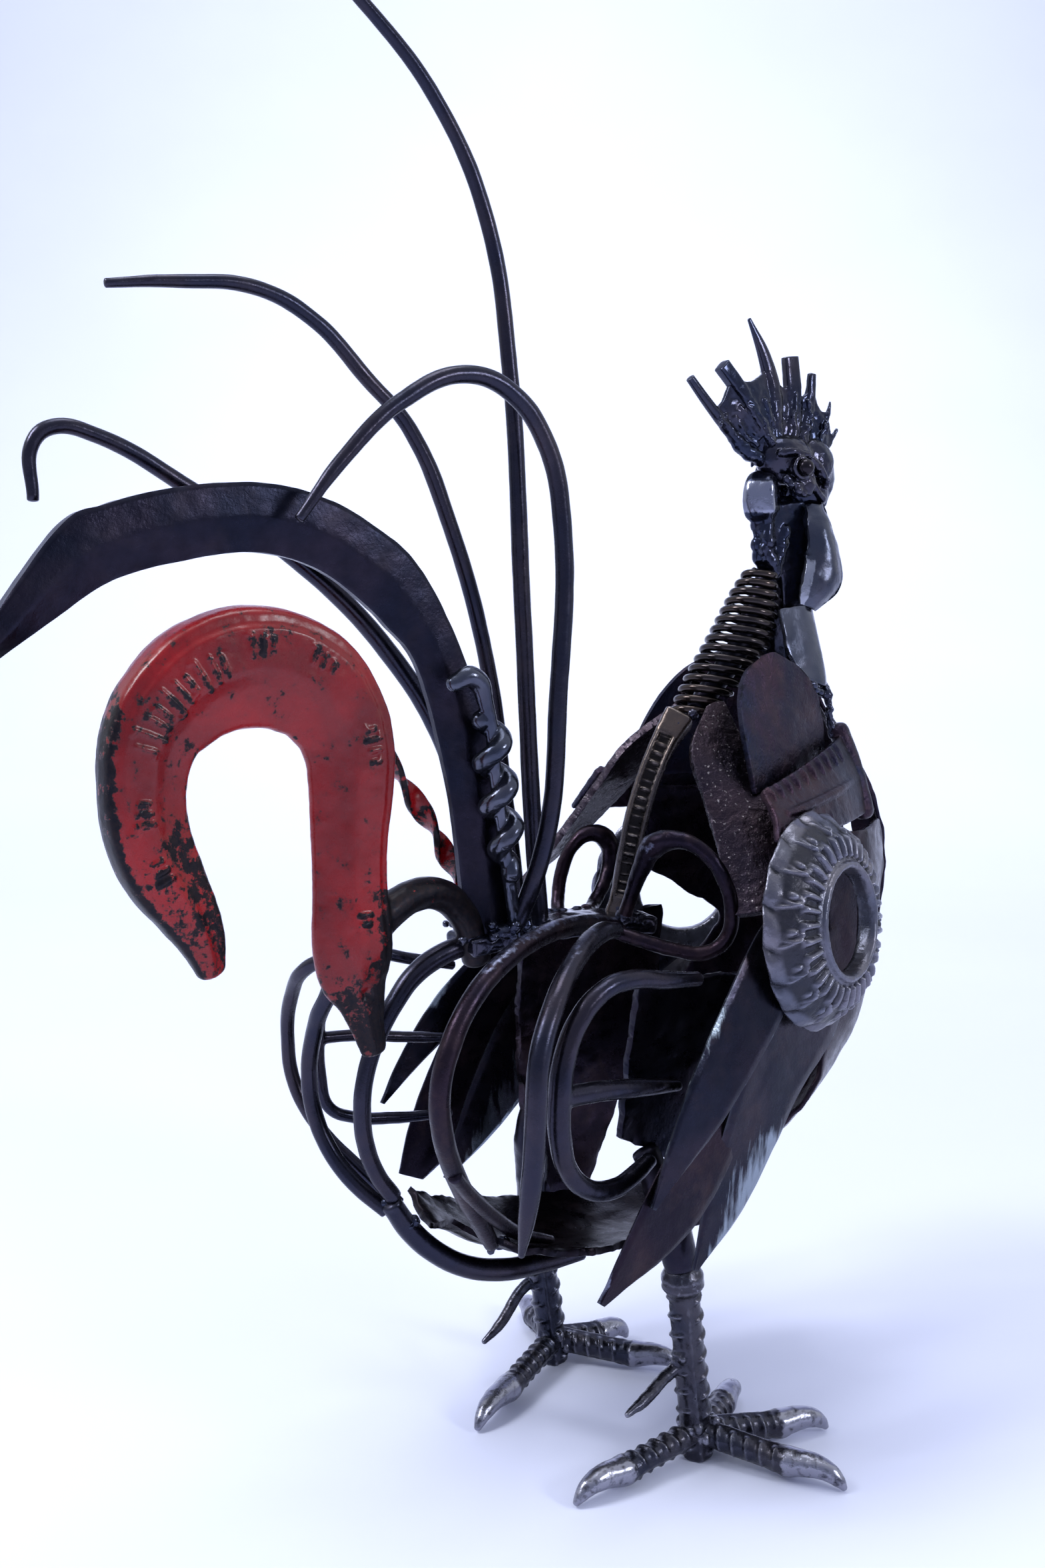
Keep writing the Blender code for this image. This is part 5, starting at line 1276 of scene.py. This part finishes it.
def welds():
    tail = []
    for foot in ((-46, 3, 249), (-53, 9, 249), (-70, -12, 249), (-70, 10, 249), (-68, -12, 251),
            (-80, 0, 250), (-84, 6, 252), (-62, -4, 250), (-76, -14, 250), (-88, -6, 248)):
        tail.append(ball(np.array(foot), (6.0, 5.2, 4.0)))
        for _ in range(7):
            way = chance.normal(0, 1, 3) * at(4.8, 4.2, 2.4)
            size = chance.uniform(1.3, 3.0)
            tail.append(ball(np.array(foot) + way, (size, size, size * 0.9), parts=(12, 8)))
    weld("tail_root", tail, 3)
    handle = [ball((-3, 0, 251), (6.2, 6.0, 4.6)), ball((35, 0, 344), (5.6, 6.0, 4.8)),
        ball((36, -7, 345), (3.4, 3.4, 3.2)), ball((-12, -17, 251), (4.4, 4.2, 4.2)),
        ball((29, -5, 340), (2.6, 2.6, 2.4)), ball((1, -5, 255), (3, 3, 3))]
    weld("handle_ends", handle, 4)
    neck = drips([(94, -22, 361), (101, -21, 358), (108, -19, 355), (115, -15, 355), (122, -6, 358),
        (124, 0, 357)], 2.1, 0.5, 0.6, 1.1)
    neck += drips([(113, -19, 354), (114, -20, 346), (115, -20, 338), (116, -20, 332)], 1.7, 0.6, 0.6, 1.2)
    weld("neck_foot", neck, 5)
    cage_end = drips([(-130, 2, 128), (-124, 2, 122), (-119, -2, 117)], 3.0, 1.0, 0.6)
    cage_end += drips([(-95, -31, 114), (-90, -28, 110), (-83, -26, 110)], 2.4, 0.7, 0.6)
    weld("cage_end", cage_end, 6)
    peg = [sweep([(27, -76, 262, 1.4), (33, -80, 258, 0.75), (41, -86, 255, 1.1)], 5.0, 14, 0.8, cap=0.9)]
    weld("ring_peg", peg, 7)


# Setting


FLOOR_HALF = 7.0
WALL_FROM, WALL_ROUND, WALL_TOP = 1.4, 4.2, 9.0
HEADING, PITCH = math.radians(58), math.radians(6)  # the camera's, from +X and downwards
CAMERA_AT = Vector((-0.4328, -0.5999, 0.3895))
PHOTO_TALL, FOCAL, SENSOR = 2352, 2300, 36  # pixels, pixels and millimetres
LIGHTS = {  # metres to the right, ahead and up from the body, then the size and the power
    "key": (-1.2, -0.4, 1.3, 0.6, 24),
    "top": (0.0, 0.2, 2.2, 1.0, 16),
    "side": (1.5, -0.9, 0.7, 0.35, 10),
    "wall": (0.0, 1.9, 3.0, 2.4, 120),
}


def setting():
    """Pale floor that curves up into a wall, a sky, soft lights and the photograph's camera."""
    ahead = Vector((math.cos(HEADING), math.sin(HEADING), 0))
    right = Vector((ahead.y, -ahead.x, 0))
    arc = [math.radians(6 * i) for i in range(16)]
    profile = [(-FLOOR_HALF, 0), *((WALL_FROM + WALL_ROUND * math.sin(a),
        WALL_ROUND * (1 - math.cos(a))) for a in arc), (WALL_FROM + WALL_ROUND, WALL_TOP)]
    corners = [ahead * away + right * side + Vector((0, 0, up)) for away,
        up in profile for side in (-FLOOR_HALF, FLOOR_HALF)]
    mesh = bpy.data.meshes.new("floor")
    mesh.from_pydata(corners, [], [(i, i + 1, i + 3, i + 2) for i in range(0, len(corners) - 2, 2)])
    mesh.shade_smooth()
    floor = bpy.data.objects.new("floor", mesh)
    bpy.context.scene.collection.objects.link(floor)
    material, tree, shader = new_look("floor")
    place = put(tree, "TexCoord").outputs["Object"]
    patches = ramp(tree, noise(tree, place, 1.2, 3), 0.3, 0.7)
    tone = blend(tree, patches, rgb(0.69, 0.71, 0.88), rgb(0.72, 0.74, 0.89))
    tree.links.new(tone, shader.inputs["Base Color"])
    shader.inputs["Roughness"].default_value = 0.6
    mesh.materials.append(material)
    world = bpy.data.worlds.new("sky")
    bpy.context.scene.world = world
    world.use_nodes = True
    sky = world.node_tree
    way = put(sky, "TexCoord").outputs["Generated"]
    behind = put(sky, "VectorMath", {"operation": "DOT_PRODUCT"})
    sky.links.new(way, behind.inputs[0])
    behind.inputs[1].default_value = (ahead.x, ahead.y, 0.55)
    share = ramp(sky, behind.outputs["Value"], -0.5, 0.6)
    background = sky.nodes["Background"]
    sky.links.new(blend(sky, share, rgb(0.34, 0.38, 0.52), rgb(0.88, 0.93, 1.0)),
        background.inputs["Color"])
    background.inputs["Strength"].default_value = 1.1
    bpy.context.scene.view_settings.view_transform = "Standard"
    middle = Vector((0.06, 0.0, 0.26))
    for name, (aside, away, up, size, power) in LIGHTS.items():
        data = bpy.data.lights.new(name, "AREA")
        data.size = size
        data.energy = power
        data.color = (0.90, 0.94, 1.0)
        light = bpy.data.objects.new(name, data)
        light.location = middle + right * aside + ahead * away + Vector((0, 0, up))
        aim = middle + ahead * 5.6 + Vector((0, 0, 1.3)) if name == "wall" else middle
        light.rotation_euler = (aim - light.location).to_track_quat("-Z", "Y").to_euler()
        bpy.context.scene.collection.objects.link(light)
    data = bpy.data.cameras.new("camera")
    data.sensor_width = SENSOR
    data.lens = FOCAL / PHOTO_TALL * SENSOR
    data.clip_start = 0.01
    camera = bpy.data.objects.new("camera", data)
    camera.location = CAMERA_AT + Vector(SHIFT)
    view = ahead * math.cos(PITCH) - Vector((0, 0, math.sin(PITCH)))
    camera.rotation_euler = view.to_track_quat("-Z", "Y").to_euler()
    bpy.context.scene.collection.objects.link(camera)
    bpy.context.scene.camera = camera


for make in (setting, tail_rods, sickle_bar, auger, twisted_strip, crane_hook, cage, forks, back_plate,
        belly_plate, breast, spine_handle, shear_bows, rough_plates, tongue_plates, toothed_brackets,
        hub_rings, wing_blades, neck_spring, neck_bar, throat_plate, skull, comb, wattles, legs, welds):
    make()
